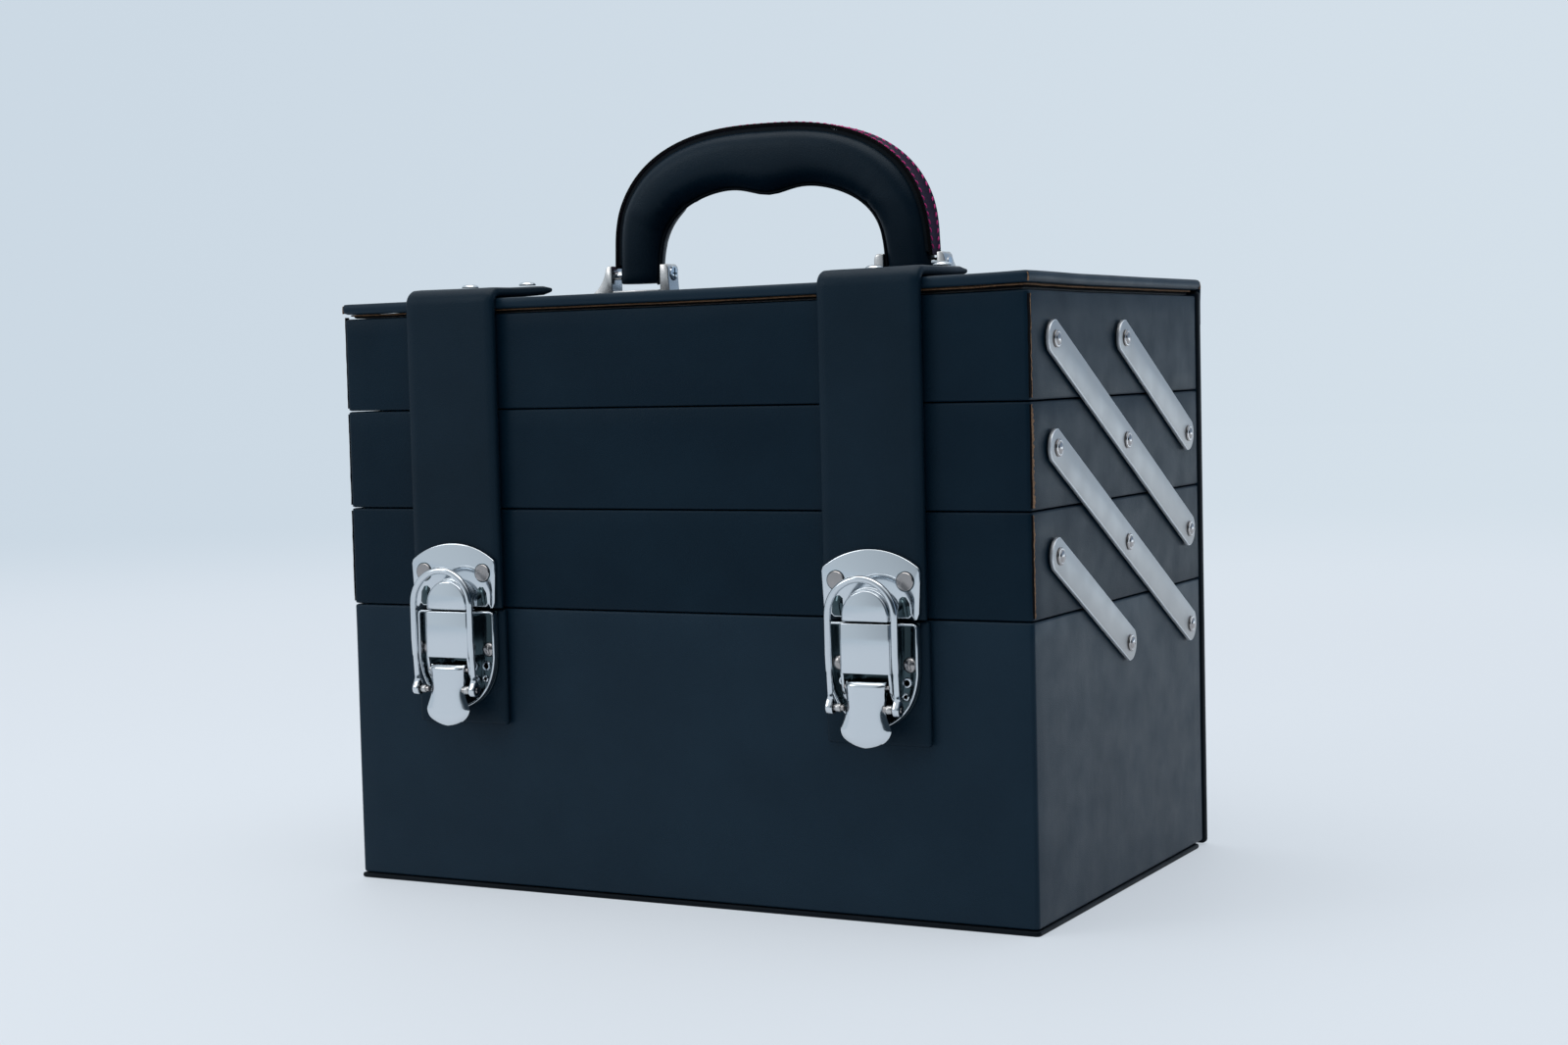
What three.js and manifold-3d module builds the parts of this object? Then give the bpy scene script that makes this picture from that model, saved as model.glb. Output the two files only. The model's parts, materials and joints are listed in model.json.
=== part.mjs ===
// Sewing box with three cantilever trays, a lid on the top tray, two strap latches and a carrying handle.
// Millimetres, +X right, +Y back, +Z up. The origin is the middle of the base board's underside.
import * as THREE from 'three';
import * as BufferGeometryUtils from 'three/addons/utils/BufferGeometryUtils.js';
import Module from 'manifold-3d';

const wasm = await Module();
wasm.setup();

// ---------- driving dimensions ----------
const WIDTH = 300;
const DEPTH = 185;
const WALL = 3;
const GAP = 0.3;              // clearance between separate pieces
const CORNER_R = 2;           // rounded upright corners of the covered boards

const BASE_T = 2;
const BASE_FRONT = -93;
const BASE_REAR = 86;
const BOX_H = 111;
const TRAY_H = 39;
const TRAY_FLOOR = 2;
const PITCH = 39.4;           // height of a tray with its gap
const BOX_Z = BASE_T + GAP;
const TRAY_Z = 113.7;         // underside of the lower tray
const OVERHANG = 0.5;         // boards stand this far past the side walls

const LID_Z = 234;
const LID_T = 4.4;
const LID_FRONT = -93.4;
const LID_REAR = 97.6;
const LINING_T = 1.8;
const BACK_FRONT = 93.2;
const BACK_REAR = 97.2;
const BACK_BOTTOM = 0.5;
const BACK_TOP = 233.5;

const PIVOT_Y = { front: -71, middle: 1.5, rear: 74 };
const PIVOT_Z = 96.1;         // pivots of the bottom box; each tray's are one pitch higher
const LINK_X = 150.6;
const LINK_T = 1.5;
const LINK_R = 6.4;
const LINK_HOLE_R = 2.4;
const RIVET_R = 2;
const RIVET_HEAD_R = 3.3;
const RIVET_HEAD_T = 1.3;

const STRAP_W = 41.4;
const STRAP_T = 4;
const STRAP_Y = -95.7;        // middle of the strap's thickness, and its hinge axis
const STRAP_PIVOT_Z = 236;
const STRAP_BOTTOM = 113.8;
const TAB_Z = LID_Z + LID_T + GAP;
const TAB_REAR = -53;
const TAB_RIVET_Y = -61;
const TAB_RIVET_X = 14;
const TAB_RIVET_R = 3.5;
const STRAP_X = { left: -95, right: 89.2 };

const PATCH_W = 42.2;
const PATCH_T = 3;
const PATCH_BOTTOM = 67;
const PATCH_TOP = 113;
const PATCH_FRONT = -DEPTH / 2 - GAP - PATCH_T;

const CATCH_BACK = STRAP_Y - STRAP_T / 2 - GAP;
const CATCH_T = 1.6;
const CATCH_BOTTOM = 113.8;
const CATCH_SHOULDER = 129;
const CATCH_TOP = 139.5;
const CATCH_HALF = 20;
const CATCH_FOOT_HALF = 18.5;
const NOSE_T = 5.8;
const NOSE_R = 10.4;
const NOSE_SPRING = 115.4;    // where the nose's round top begins

const PLATE_BACK = PATCH_FRONT - GAP;
const PLATE_T = 1.4;
const PLATE_HALF = 18.2;
const PLATE_TOP = 112.6;
const PLATE_TURN = 94;        // where the plate's sides start to curve in
const PLATE_TIP = 75;
const COVER_HALF = 10.4;
const COVER_FRONT = -105.7;
const COVER_BOTTOM = 94.4;
const EAR_T = 1.5;
const EAR_BOTTOM = 86.5;
const LEVER_AXIS = { y: -104.2, z: 89.6 };
const LEVER_PIN_R = 1;
const LEVER_TOP = 91.6;
const LEVER_BOTTOM = 67.5;
const LEVER_T = 1.8;
const LEVER_FRONT = -107.4;
const LEVER_HALF_TOP = 8.1;
const LEVER_HALF_FLARE = 10.1;
const CROSS = { y: -106.9, z: 82, r: 1.2, half: 15.1 };

const WIRE_R = 1.35;
const LOOP_Y = -108.3;
const LOOP_R = 13.4;          // to the middle of the wire
const LOOP_SPRING = 115.95;
const EYE_R = 2.7;
const EYE_HOLE_R = 1.6;
const EYE_W = 2.7;

const HANDLE_PIVOT_Z = 246.5;
const ARCH_Z = 250;           // the legs run straight below this height
const ARCH_POWER = 2.7;
const ARCH_STEPS = 22;
const PAD_HALF = 73.2;
const PAD_TOP = 305;
const PAD_INNER_HALF = 52.5;
const PAD_INNER_TOP = 283;
const PAD_HALF_DEPTH = 10;
const PAD_LEG_R = 6.2;
const PAD_FULL_Z = 272;       // the legs reach the full depth here
const PAD_BEVEL = 4;
const GRIP_BUMP = 4;
const GRIP_BUMP_W = 12;
const BAND_T = 1.6;
const BAND_HALF_DEPTH = 8.5;
const BAND_LEG_R = 5;
const BAND_BOTTOM = 249;
const EAR_INNER = 52.1;
const EAR_OUTER = 75.5;
const BRACKET_EAR_T = 3.4;
const BRACKET_HALF_DEPTH = 4.3;
const BRACKET_T = 1.2;
const BRACKET_TOP = 250.5;
const SCREW_R = 1.9;
const SCREW_HEAD_R = 3.1;
const SCREW_HEAD_T = 1.4;

// ---------- materials ----------
const material = (color, roughness, metalness) => new THREE.MeshStandardMaterial({ color, roughness, metalness });
const leather = material(0x14232d, 0.5, 0);
const strapLeather = material(0x172731, 0.45, 0);
const rawBoard = material(0x6a4a38, 0.8, 0);
const nickel = material(0xc8c8c6, 0.18, 1);
const aluminium = material(0xb4b6b8, 0.35, 1);

// ---------- helpers ----------
function solid(geometry) {
  const bare = geometry.index ? geometry.toNonIndexed() : geometry.clone();
  bare.deleteAttribute('normal');
  bare.deleteAttribute('uv');
  const merged = BufferGeometryUtils.mergeVertices(bare, 1e-4);
  const vertProperties = new Float32Array(merged.attributes.position.array);
  const triVerts = new Uint32Array(merged.index.array);
  return new wasm.Manifold(new wasm.Mesh({ numProp: 3, vertProperties, triVerts }));
}

function shell(manifold) {
  const mesh = manifold.getMesh();
  const geometry = new THREE.BufferGeometry();
  geometry.setAttribute('position', new THREE.BufferAttribute(new Float32Array(mesh.vertProperties), 3));
  geometry.setIndex(new THREE.BufferAttribute(new Uint32Array(mesh.triVerts), 1));
  return geometry;
}

function block(x, y, z) {
  const geometry = new THREE.BoxGeometry(x[1] - x[0], y[1] - y[0], z[1] - z[0]);
  return geometry.translate((x[0] + x[1]) / 2, (y[0] + y[1]) / 2, (z[0] + z[1]) / 2);
}

// A shape drawn in (y, z), extruded along +X from x.
function alongX(shape, x, length, curveSegments = 8) {
  const geometry = new THREE.ExtrudeGeometry(shape, { depth: length, bevelEnabled: false, curveSegments });
  const turn = new THREE.Matrix4().makeBasis(
    new THREE.Vector3(0, 1, 0), new THREE.Vector3(0, 0, 1), new THREE.Vector3(1, 0, 0));
  return geometry.applyMatrix4(turn).translate(x, 0, 0);
}

// A shape drawn in (x, z), extruded towards the front from y.
function towardsFront(shape, y, length, options = {}) {
  const settings = { depth: length, bevelEnabled: false, curveSegments: 8, ...options };
  const geometry = new THREE.ExtrudeGeometry(shape, settings);
  const turn = new THREE.Matrix4().makeBasis(
    new THREE.Vector3(1, 0, 0), new THREE.Vector3(0, 0, 1), new THREE.Vector3(0, -1, 0));
  return geometry.applyMatrix4(turn).translate(0, y, 0);
}

function rodX(y, z, radius, x0, x1, sides = 12) {
  const geometry = new THREE.CylinderGeometry(radius, radius, x1 - x0, sides);
  return geometry.rotateZ(Math.PI / 2).translate((x0 + x1) / 2, y, z);
}

// A turned fastener: a profile of (radius, height) points spun about an axis that then points to `out`.
function turned(profile, sides, position, out) {
  const geometry = new THREE.LatheGeometry(profile.map((p) => new THREE.Vector2(...p)), sides);
  const turn = new THREE.Quaternion().setFromUnitVectors(new THREE.Vector3(0, 1, 0), out);
  return geometry.applyQuaternion(turn).translate(...position);
}

function rectangle(x0, x1, z0, z1) {
  const points = [[x0, z0], [x1, z0], [x1, z1], [x0, z1]];
  return new THREE.Shape(points.map((p) => new THREE.Vector2(...p)));
}

function roundedBoard(x, y, radius) {
  const shape = new THREE.Shape();
  shape.moveTo(x[0] + radius, y[0]);
  shape.absarc(x[1] - radius, y[0] + radius, radius, -Math.PI / 2, 0);
  shape.absarc(x[1] - radius, y[1] - radius, radius, 0, Math.PI / 2);
  shape.absarc(x[0] + radius, y[1] - radius, radius, Math.PI / 2, Math.PI);
  shape.absarc(x[0] + radius, y[0] + radius, radius, Math.PI, 1.5 * Math.PI);
  return shape;
}

function board(x, y, z, thickness) {
  const settings = { depth: thickness, bevelEnabled: false, curveSegments: 3 };
  return new THREE.ExtrudeGeometry(roundedBoard(x, y, CORNER_R), settings).translate(0, 0, z);
}

const box = new THREE.Group();
function add(name, geometry, look) {
  const mesh = new THREE.Mesh(geometry, look);
  mesh.name = name;
  box.add(mesh);
}

// ---------- box, trays and boards ----------
const halfX = WIDTH / 2;
const halfY = DEPTH / 2;

function openBox(z, height, floor) {
  const outside = solid(board([-halfX, halfX], [-halfY, halfY], z, height));
  const inside = block([-halfX + WALL, halfX - WALL], [-halfY + WALL, halfY - WALL], [z + floor, z + height + 1]);
  return shell(outside.subtract(solid(inside)));
}

const boardX = [-halfX - OVERHANG, halfX + OVERHANG];
add('bottom_box', openBox(BOX_Z, BOX_H, WALL), leather);
add('base_board', board(boardX, [BASE_FRONT, BASE_REAR], 0, BASE_T), leather);
['lower', 'middle', 'upper'].forEach((name, i) => {
  add(`tray_${name}`, openBox(TRAY_Z + i * PITCH, TRAY_H, TRAY_FLOOR), leather);
});
add('back_board', block(boardX, [BACK_FRONT, BACK_REAR], [BACK_BOTTOM, BACK_TOP]), leather);
add('lid', board(boardX, [LID_FRONT, LID_REAR], LID_Z, LID_T), leather);
const liningY = [-halfY + 1, halfY - 1];
add('lid_lining', board([-halfX + 1, halfX - 1], liningY, LID_Z - GAP - LINING_T, LINING_T), rawBoard);

// ---------- links and rivets ----------
const LEVEL = { box: 0, lower: 1, middle: 2, upper: 3 };
const pivot = ([level, place]) => [PIVOT_Y[place], PIVOT_Z + LEVEL[level] * PITCH];

const LINKS = {
  long_link_lower: [['box', 'rear'], ['lower', 'middle'], ['middle', 'front']],
  long_link_upper: [['lower', 'rear'], ['middle', 'middle'], ['upper', 'front']],
  short_link_lower: [['box', 'middle'], ['lower', 'front']],
  short_link_upper: [['middle', 'rear'], ['upper', 'middle']],
};

function linkShape(pivots) {
  const [y0, z0] = pivots[0];
  const [y1, z1] = pivots[pivots.length - 1];
  const lean = Math.atan2(z1 - z0, y1 - y0);
  const shape = new THREE.Shape();
  shape.absarc(y0, z0, LINK_R, lean + Math.PI / 2, lean + 1.5 * Math.PI);
  shape.absarc(y1, z1, LINK_R, lean - Math.PI / 2, lean + Math.PI / 2);
  for (const [y, z] of pivots) {
    const hole = new THREE.Path();
    hole.absarc(y, z, LINK_HOLE_R, 0, 2 * Math.PI, true);
    shape.holes.push(hole);
  }
  return shape;
}

const rivetProfile = [
  [0, 0], [RIVET_R, 0], [RIVET_R, LINK_T + 2 * GAP], [RIVET_HEAD_R, LINK_T + 2 * GAP],
  [RIVET_HEAD_R * 0.8, LINK_T + 2 * GAP + RIVET_HEAD_T * 0.65], [0, LINK_T + 2 * GAP + RIVET_HEAD_T],
];

for (const [side, sign] of [['left', -1], ['right', 1]]) {
  for (const [name, stops] of Object.entries(LINKS)) {
    const start = sign > 0 ? LINK_X : -LINK_X - LINK_T;
    add(`${name}_${side}`, alongX(linkShape(stops.map(pivot)), start, LINK_T, 10), aluminium);
  }
  for (const [level, place] of Object.values(LINKS).flat()) {
    const [y, z] = pivot([level, place]);
    const position = [sign * (halfX + GAP), y, z];
    const rivet = turned(rivetProfile, 10, position, new THREE.Vector3(sign, 0, 0));
    add(`rivet_${level}_${place}_${side}`, rivet, aluminium);
  }
}

// ---------- straps, catches and latches ----------
const tabRivetProfile = [
  [0, 0], [TAB_RIVET_R, 0], [TAB_RIVET_R, 0.6], [TAB_RIVET_R * 0.7, 1.3], [0, 1.6],
];

function strapShape() {
  const shape = new THREE.Shape();
  shape.moveTo(STRAP_Y - STRAP_T / 2, STRAP_BOTTOM);
  shape.lineTo(STRAP_Y + STRAP_T / 2, STRAP_BOTTOM);
  shape.absarc(STRAP_Y, STRAP_PIVOT_Z, STRAP_T / 2, 0, Math.PI);
  return shape;
}

function tabShape() {
  const front = STRAP_Y - STRAP_T / 2;
  const shape = new THREE.Shape();
  shape.moveTo(TAB_REAR, TAB_Z);
  shape.lineTo(TAB_REAR, TAB_Z + STRAP_T);
  shape.lineTo(front + STRAP_T - 1, TAB_Z + STRAP_T);
  shape.quadraticCurveTo(front, TAB_Z + STRAP_T, front, TAB_Z);
  return shape;
}

function catchPlate(x) {
  const plate = new THREE.Shape();
  plate.moveTo(-CATCH_FOOT_HALF, CATCH_BOTTOM);
  plate.lineTo(CATCH_FOOT_HALF, CATCH_BOTTOM);
  plate.quadraticCurveTo(CATCH_HALF, CATCH_BOTTOM + 5, CATCH_HALF, CATCH_SHOULDER);
  plate.absellipse(0, CATCH_SHOULDER, CATCH_HALF, CATCH_TOP - CATCH_SHOULDER, 0, Math.PI);
  plate.quadraticCurveTo(-CATCH_HALF, CATCH_BOTTOM + 5, -CATCH_FOOT_HALF, CATCH_BOTTOM);
  const nose = new THREE.Shape();
  nose.moveTo(-NOSE_R, CATCH_BOTTOM);
  nose.lineTo(NOSE_R, CATCH_BOTTOM);
  nose.absarc(0, NOSE_SPRING, NOSE_R, 0, Math.PI);
  const body = solid(towardsFront(plate, CATCH_BACK, CATCH_T));
  const raised = solid(towardsFront(nose, CATCH_BACK - CATCH_T / 2, CATCH_T / 2 + NOSE_T));
  return shell(body.add(raised).translate([x, 0, 0]));
}

function latchBase(x) {
  const plate = new THREE.Shape();
  plate.moveTo(0, PLATE_TIP);
  plate.quadraticCurveTo(PLATE_HALF, PLATE_TIP + 4, PLATE_HALF, PLATE_TURN);
  plate.lineTo(PLATE_HALF, PLATE_TOP);
  plate.lineTo(-PLATE_HALF, PLATE_TOP);
  plate.lineTo(-PLATE_HALF, PLATE_TURN);
  plate.quadraticCurveTo(-PLATE_HALF, PLATE_TIP + 4, 0, PLATE_TIP);
  const back = PLATE_BACK - PLATE_T / 2;
  const cover = block([-COVER_HALF, COVER_HALF], [COVER_FRONT, back], [COVER_BOTTOM, PLATE_TOP]);
  let body = solid(towardsFront(plate, PLATE_BACK, PLATE_T)).add(solid(cover));
  for (const sign of [-1, 1]) {
    const ear = [sign * COVER_HALF, sign * (COVER_HALF - EAR_T)].sort((a, b) => a - b);
    body = body.add(solid(block(ear, [COVER_FRONT, back], [EAR_BOTTOM, COVER_BOTTOM + 1])));
  }
  const pin = rodX(LEVER_AXIS.y, LEVER_AXIS.z, LEVER_PIN_R, -COVER_HALF + 0.5, COVER_HALF - 0.5, 8);
  return shell(body.add(solid(pin)).translate([x, 0, 0]));
}

function lever(x) {
  const blade = new THREE.Shape();
  blade.moveTo(-LEVER_HALF_TOP, LEVER_TOP);
  blade.bezierCurveTo(-LEVER_HALF_TOP + 1, 84, -LEVER_HALF_FLARE, 82, -LEVER_HALF_FLARE, 76);
  blade.quadraticCurveTo(-LEVER_HALF_FLARE + 1, LEVER_BOTTOM, 0, LEVER_BOTTOM);
  blade.quadraticCurveTo(LEVER_HALF_FLARE - 1, LEVER_BOTTOM, LEVER_HALF_FLARE, 76);
  blade.bezierCurveTo(LEVER_HALF_FLARE, 82, LEVER_HALF_TOP - 1, 84, LEVER_HALF_TOP, LEVER_TOP);
  const face = solid(towardsFront(blade, LEVER_FRONT + LEVER_T, LEVER_T));
  const half = LEVER_HALF_TOP - 0.1;
  const web = block([-half, half], [LEVER_FRONT + 0.4, LEVER_AXIS.y], [LEVER_AXIS.z - 2, LEVER_AXIS.z + 2]);
  const barrel = rodX(LEVER_AXIS.y, LEVER_AXIS.z, 2, -half, half);
  const bore = rodX(LEVER_AXIS.y, LEVER_AXIS.z, LEVER_PIN_R + 0.35, -half - 1, half + 1);
  const cross = rodX(CROSS.y, CROSS.z, CROSS.r, -CROSS.half, CROSS.half, 10);
  const body = face.add(solid(web)).add(solid(barrel)).subtract(solid(bore)).add(solid(cross));
  return shell(body.translate([x, 0, 0]));
}

function wireLoop(x) {
  const points = [];
  const foot = CROSS.z + 1;
  for (let i = 0; i <= 4; i++) {
    points.push([LOOP_R, foot + (LOOP_SPRING - foot) * i / 4]);
  }
  for (let i = 1; i < 12; i++) {
    const turn = Math.PI * i / 12;
    points.push([LOOP_R * Math.cos(turn), LOOP_SPRING + LOOP_R * Math.sin(turn)]);
  }
  for (let i = 4; i >= 0; i--) {
    points.push([-LOOP_R, foot + (LOOP_SPRING - foot) * i / 4]);
  }
  const slant = (z) => CROSS.y + (LOOP_Y - CROSS.y) * Math.min(1, (z - CROSS.z) / 20);
  const curve = new THREE.CatmullRomCurve3(points.map(([px, z]) => new THREE.Vector3(px, slant(z), z)));
  const section = new THREE.Shape();
  section.absarc(0, 0, WIRE_R, 0, 2 * Math.PI);
  const settings = { steps: 30, curveSegments: 8, extrudePath: curve, bevelEnabled: false };
  let wire = solid(new THREE.ExtrudeGeometry(section, settings));
  for (const sign of [-1, 1]) {
    const ends = [sign * LOOP_R - EYE_W / 2, sign * LOOP_R + EYE_W / 2];
    wire = wire.add(solid(rodX(CROSS.y, CROSS.z, EYE_R, ...ends)));
    wire = wire.subtract(solid(rodX(CROSS.y, CROSS.z, EYE_HOLE_R, ends[0] - 1, ends[1] + 1)));
  }
  return shell(wire.translate([x, 0, 0]));
}

for (const [side, x] of Object.entries(STRAP_X)) {
  add(`strap_${side}`, alongX(strapShape(), x - STRAP_W / 2, STRAP_W), strapLeather);
  add(`strap_tab_${side}`, alongX(tabShape(), x - STRAP_W / 2, STRAP_W), strapLeather);
  for (const [place, offset] of [['outer', Math.sign(x) * TAB_RIVET_X], ['inner', -Math.sign(x) * TAB_RIVET_X]]) {
    const position = [x + offset, TAB_RIVET_Y, TAB_Z + STRAP_T + GAP];
    add(`tab_rivet_${place}_${side}`, turned(tabRivetProfile, 12, position, new THREE.Vector3(0, 0, 1)), nickel);
  }
  add(`catch_plate_${side}`, catchPlate(x), nickel);
  const patchX = [x - PATCH_W / 2, x + PATCH_W / 2];
  add(`latch_patch_${side}`, block(patchX, [PATCH_FRONT, -halfY - GAP], [PATCH_BOTTOM, PATCH_TOP]), strapLeather);
  add(`latch_base_${side}`, latchBase(x), nickel);
  add(`latch_lever_${side}`, lever(x), nickel);
  add(`latch_loop_${side}`, wireLoop(x), nickel);
}

// ---------- carrying handle ----------
function arch(halfWidth, top, bump = 0) {
  const points = [];
  for (let i = 0; i <= ARCH_STEPS; i++) {
    const turn = Math.PI * i / ARCH_STEPS;
    const across = Math.abs(Math.cos(turn)) ** (2 / ARCH_POWER) * Math.sign(Math.cos(turn));
    const up = Math.abs(Math.sin(turn)) ** (2 / ARCH_POWER);
    const x = halfWidth * across;
    const dip = bump * Math.exp(-((x / GRIP_BUMP_W) ** 2));
    points.push(new THREE.Vector2(x, ARCH_Z + (top - ARCH_Z) * up - dip));
  }
  return points;
}

function archShape(outer, inner, bottom) {
  const first = outer[0].x;
  const last = inner[0].x;
  return new THREE.Shape([
    new THREE.Vector2(first, bottom), ...outer, new THREE.Vector2(-first, bottom),
    new THREE.Vector2(-last, bottom), ...inner.reverse(), new THREE.Vector2(last, bottom),
  ]);
}

// Seen from the side the handle narrows downwards and ends round the screw, so it can fold.
function legLimit(radius, halfDepth) {
  const side = new THREE.Shape();
  side.absarc(0, HANDLE_PIVOT_Z, radius, Math.PI, 2 * Math.PI);
  side.lineTo(halfDepth, PAD_FULL_Z);
  side.lineTo(halfDepth, PAD_TOP + 10);
  side.lineTo(-halfDepth, PAD_TOP + 10);
  side.lineTo(-halfDepth, PAD_FULL_Z);
  const reach = PAD_HALF + 10;
  return solid(alongX(side, -reach, 2 * reach));
}

function handlePad() {
  const outline = archShape(arch(PAD_HALF, PAD_TOP), arch(PAD_INNER_HALF, PAD_INNER_TOP, GRIP_BUMP),
    HANDLE_PIVOT_Z - PAD_LEG_R - 1);
  const bevel = { bevelEnabled: true, bevelThickness: PAD_BEVEL, bevelSize: PAD_BEVEL, bevelOffset: -PAD_BEVEL,
    bevelSegments: 2 };
  const straight = 2 * (PAD_HALF_DEPTH - PAD_BEVEL);
  const body = solid(towardsFront(outline, straight / 2, straight, bevel));
  const limit = legLimit(PAD_LEG_R, PAD_HALF_DEPTH);
  const bore = solid(rodX(0, HANDLE_PIVOT_Z, SCREW_R + GAP, -PAD_HALF - 2, PAD_HALF + 2));
  return shell(body.intersect(limit).subtract(bore));
}

function handleBand() {
  const outer = arch(PAD_HALF + GAP + BAND_T, PAD_TOP + GAP + BAND_T);
  const inner = arch(PAD_HALF + GAP, PAD_TOP + GAP);
  const strip = towardsFront(archShape(outer, inner, BAND_BOTTOM), BAND_HALF_DEPTH, 2 * BAND_HALF_DEPTH);
  return shell(solid(strip).intersect(legLimit(BAND_LEG_R, BAND_HALF_DEPTH)));
}

// The bracket is a U of sheet: a foot plate, an ear on each side of the leg, and a ramp outside each ear.
function bracket(sign) {
  const z = TAB_Z;
  const profile = [
    [EAR_OUTER + 9.5, z], [EAR_OUTER + 9.5, z + 0.9], [EAR_OUTER + BRACKET_EAR_T, z + 5.5],
    [EAR_OUTER + BRACKET_EAR_T, BRACKET_TOP], [EAR_OUTER, BRACKET_TOP], [EAR_OUTER, z + BRACKET_T],
    [EAR_INNER, z + BRACKET_T], [EAR_INNER, BRACKET_TOP], [EAR_INNER - BRACKET_EAR_T, BRACKET_TOP],
    [EAR_INNER - BRACKET_EAR_T, z + 4], [EAR_INNER - 6.5, z + 0.9], [EAR_INNER - 6.5, z],
  ];
  const outline = profile.map(([x, height]) => new THREE.Vector2(sign * x, height));
  const shape = new THREE.Shape(sign > 0 ? outline : outline.reverse());
  const body = solid(towardsFront(shape, BRACKET_HALF_DEPTH, 2 * BRACKET_HALF_DEPTH));
  const side = new THREE.Shape();
  const round = BRACKET_TOP - HANDLE_PIVOT_Z;
  side.moveTo(-BRACKET_HALF_DEPTH - 1, z - 1);
  side.lineTo(BRACKET_HALF_DEPTH + 1, z - 1);
  side.lineTo(BRACKET_HALF_DEPTH + 1, z + 3);
  side.lineTo(round, HANDLE_PIVOT_Z);
  side.absarc(0, HANDLE_PIVOT_Z, round, 0, Math.PI);
  side.lineTo(-BRACKET_HALF_DEPTH - 1, z + 3);
  const reach = EAR_OUTER + 12;
  const limit = solid(alongX(side, -reach, 2 * reach));
  const bore = solid(rodX(0, HANDLE_PIVOT_Z, SCREW_R + GAP, -reach, reach));
  return shell(body.intersect(limit).subtract(bore));
}

function handleScrew(sign) {
  const tip = EAR_INNER - BRACKET_EAR_T - GAP - SCREW_HEAD_T;
  const length = EAR_OUTER + BRACKET_EAR_T + 0.6 - tip;
  const profile = [
    [0, 0], [SCREW_HEAD_R * 0.7, 0], [SCREW_HEAD_R, SCREW_HEAD_T * 0.5], [SCREW_HEAD_R, SCREW_HEAD_T],
    [SCREW_R, SCREW_HEAD_T], [SCREW_R, length], [0, length],
  ];
  return turned(profile, 12, [sign * tip, 0, HANDLE_PIVOT_Z], new THREE.Vector3(sign, 0, 0));
}

add('handle_pad', handlePad(), leather);
add('handle_band', handleBand(), strapLeather);
for (const [side, sign] of [['left', -1], ['right', 1]]) {
  add(`handle_bracket_${side}`, bracket(sign), nickel);
  add(`handle_screw_${side}`, handleScrew(sign), nickel);
}

export default box;
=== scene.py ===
"""Sewing box with trays: the looks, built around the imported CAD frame.

Lengths are in millimetres until a mesh is made.
"""
import json
import math

import bmesh
import bpy
import numpy as np
from mathutils import Matrix, Vector, noise

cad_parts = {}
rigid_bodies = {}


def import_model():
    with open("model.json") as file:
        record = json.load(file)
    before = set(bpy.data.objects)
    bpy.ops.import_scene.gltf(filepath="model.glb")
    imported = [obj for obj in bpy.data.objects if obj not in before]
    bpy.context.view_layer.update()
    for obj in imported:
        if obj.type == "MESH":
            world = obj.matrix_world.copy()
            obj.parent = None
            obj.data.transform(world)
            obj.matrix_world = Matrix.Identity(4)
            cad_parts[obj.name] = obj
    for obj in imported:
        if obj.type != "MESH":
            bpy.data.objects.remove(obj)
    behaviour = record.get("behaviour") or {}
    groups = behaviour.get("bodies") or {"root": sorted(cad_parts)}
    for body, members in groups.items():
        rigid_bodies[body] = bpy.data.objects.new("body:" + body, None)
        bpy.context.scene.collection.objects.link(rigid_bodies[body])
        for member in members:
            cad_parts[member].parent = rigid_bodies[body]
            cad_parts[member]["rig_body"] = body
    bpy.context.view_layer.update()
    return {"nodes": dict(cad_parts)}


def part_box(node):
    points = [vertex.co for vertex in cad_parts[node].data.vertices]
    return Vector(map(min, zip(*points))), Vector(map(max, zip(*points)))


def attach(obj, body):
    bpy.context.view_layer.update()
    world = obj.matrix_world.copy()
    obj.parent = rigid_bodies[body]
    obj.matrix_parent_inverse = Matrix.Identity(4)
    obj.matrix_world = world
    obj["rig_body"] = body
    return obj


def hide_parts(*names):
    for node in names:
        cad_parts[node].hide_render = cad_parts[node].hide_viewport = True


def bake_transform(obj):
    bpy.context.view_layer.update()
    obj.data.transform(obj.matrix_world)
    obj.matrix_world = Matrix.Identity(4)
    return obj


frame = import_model()

MM = 0.001
SIDES = {"left": -1, "right": 1}


def span(node):
    """A CAD node's lowest and highest corners in millimetres."""
    low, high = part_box(node)
    return [c / MM for c in low], [c / MM for c in high]


def box_spans(cad):
    """A CAD node's reach along each axis."""
    return tuple(zip(*span(cad)))


def middle(node):
    return [(low + high) / 2 for low, high in box_spans(node)]


# ---- camera
CAMERA_AT = (492.17, -930.97, 208.70)
CAMERA_TURN = math.radians(27.773)
CAMERA_DOWN = math.radians(3.638)
CAMERA_ROLL = math.radians(1.4045)
CAMERA_LENS = 58.4


def shown(name, data):
    """A new object in the scene."""
    made = bpy.data.objects.new(name, data)
    bpy.context.scene.collection.objects.link(made)
    return made


def make_camera():
    turn, down = CAMERA_TURN, CAMERA_DOWN
    forward = Vector((-math.sin(turn) * math.cos(down), math.cos(turn) * math.cos(down), -math.sin(down)))
    level = forward.cross(Vector((0, 0, 1))).normalized()
    below = forward.cross(level)
    right = math.cos(CAMERA_ROLL) * level + math.sin(CAMERA_ROLL) * below
    up = math.sin(CAMERA_ROLL) * level - math.cos(CAMERA_ROLL) * below
    data = bpy.data.cameras.new("camera")
    data.lens = CAMERA_LENS
    data.sensor_width = 36
    data.clip_end = 50
    camera = shown("camera", data)
    turned = Matrix((right, up, -forward)).transposed()
    camera.matrix_world = Matrix.Translation(Vector(CAMERA_AT) * MM) @ turned.to_4x4()
    bpy.context.scene.camera = camera


make_camera()


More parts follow.
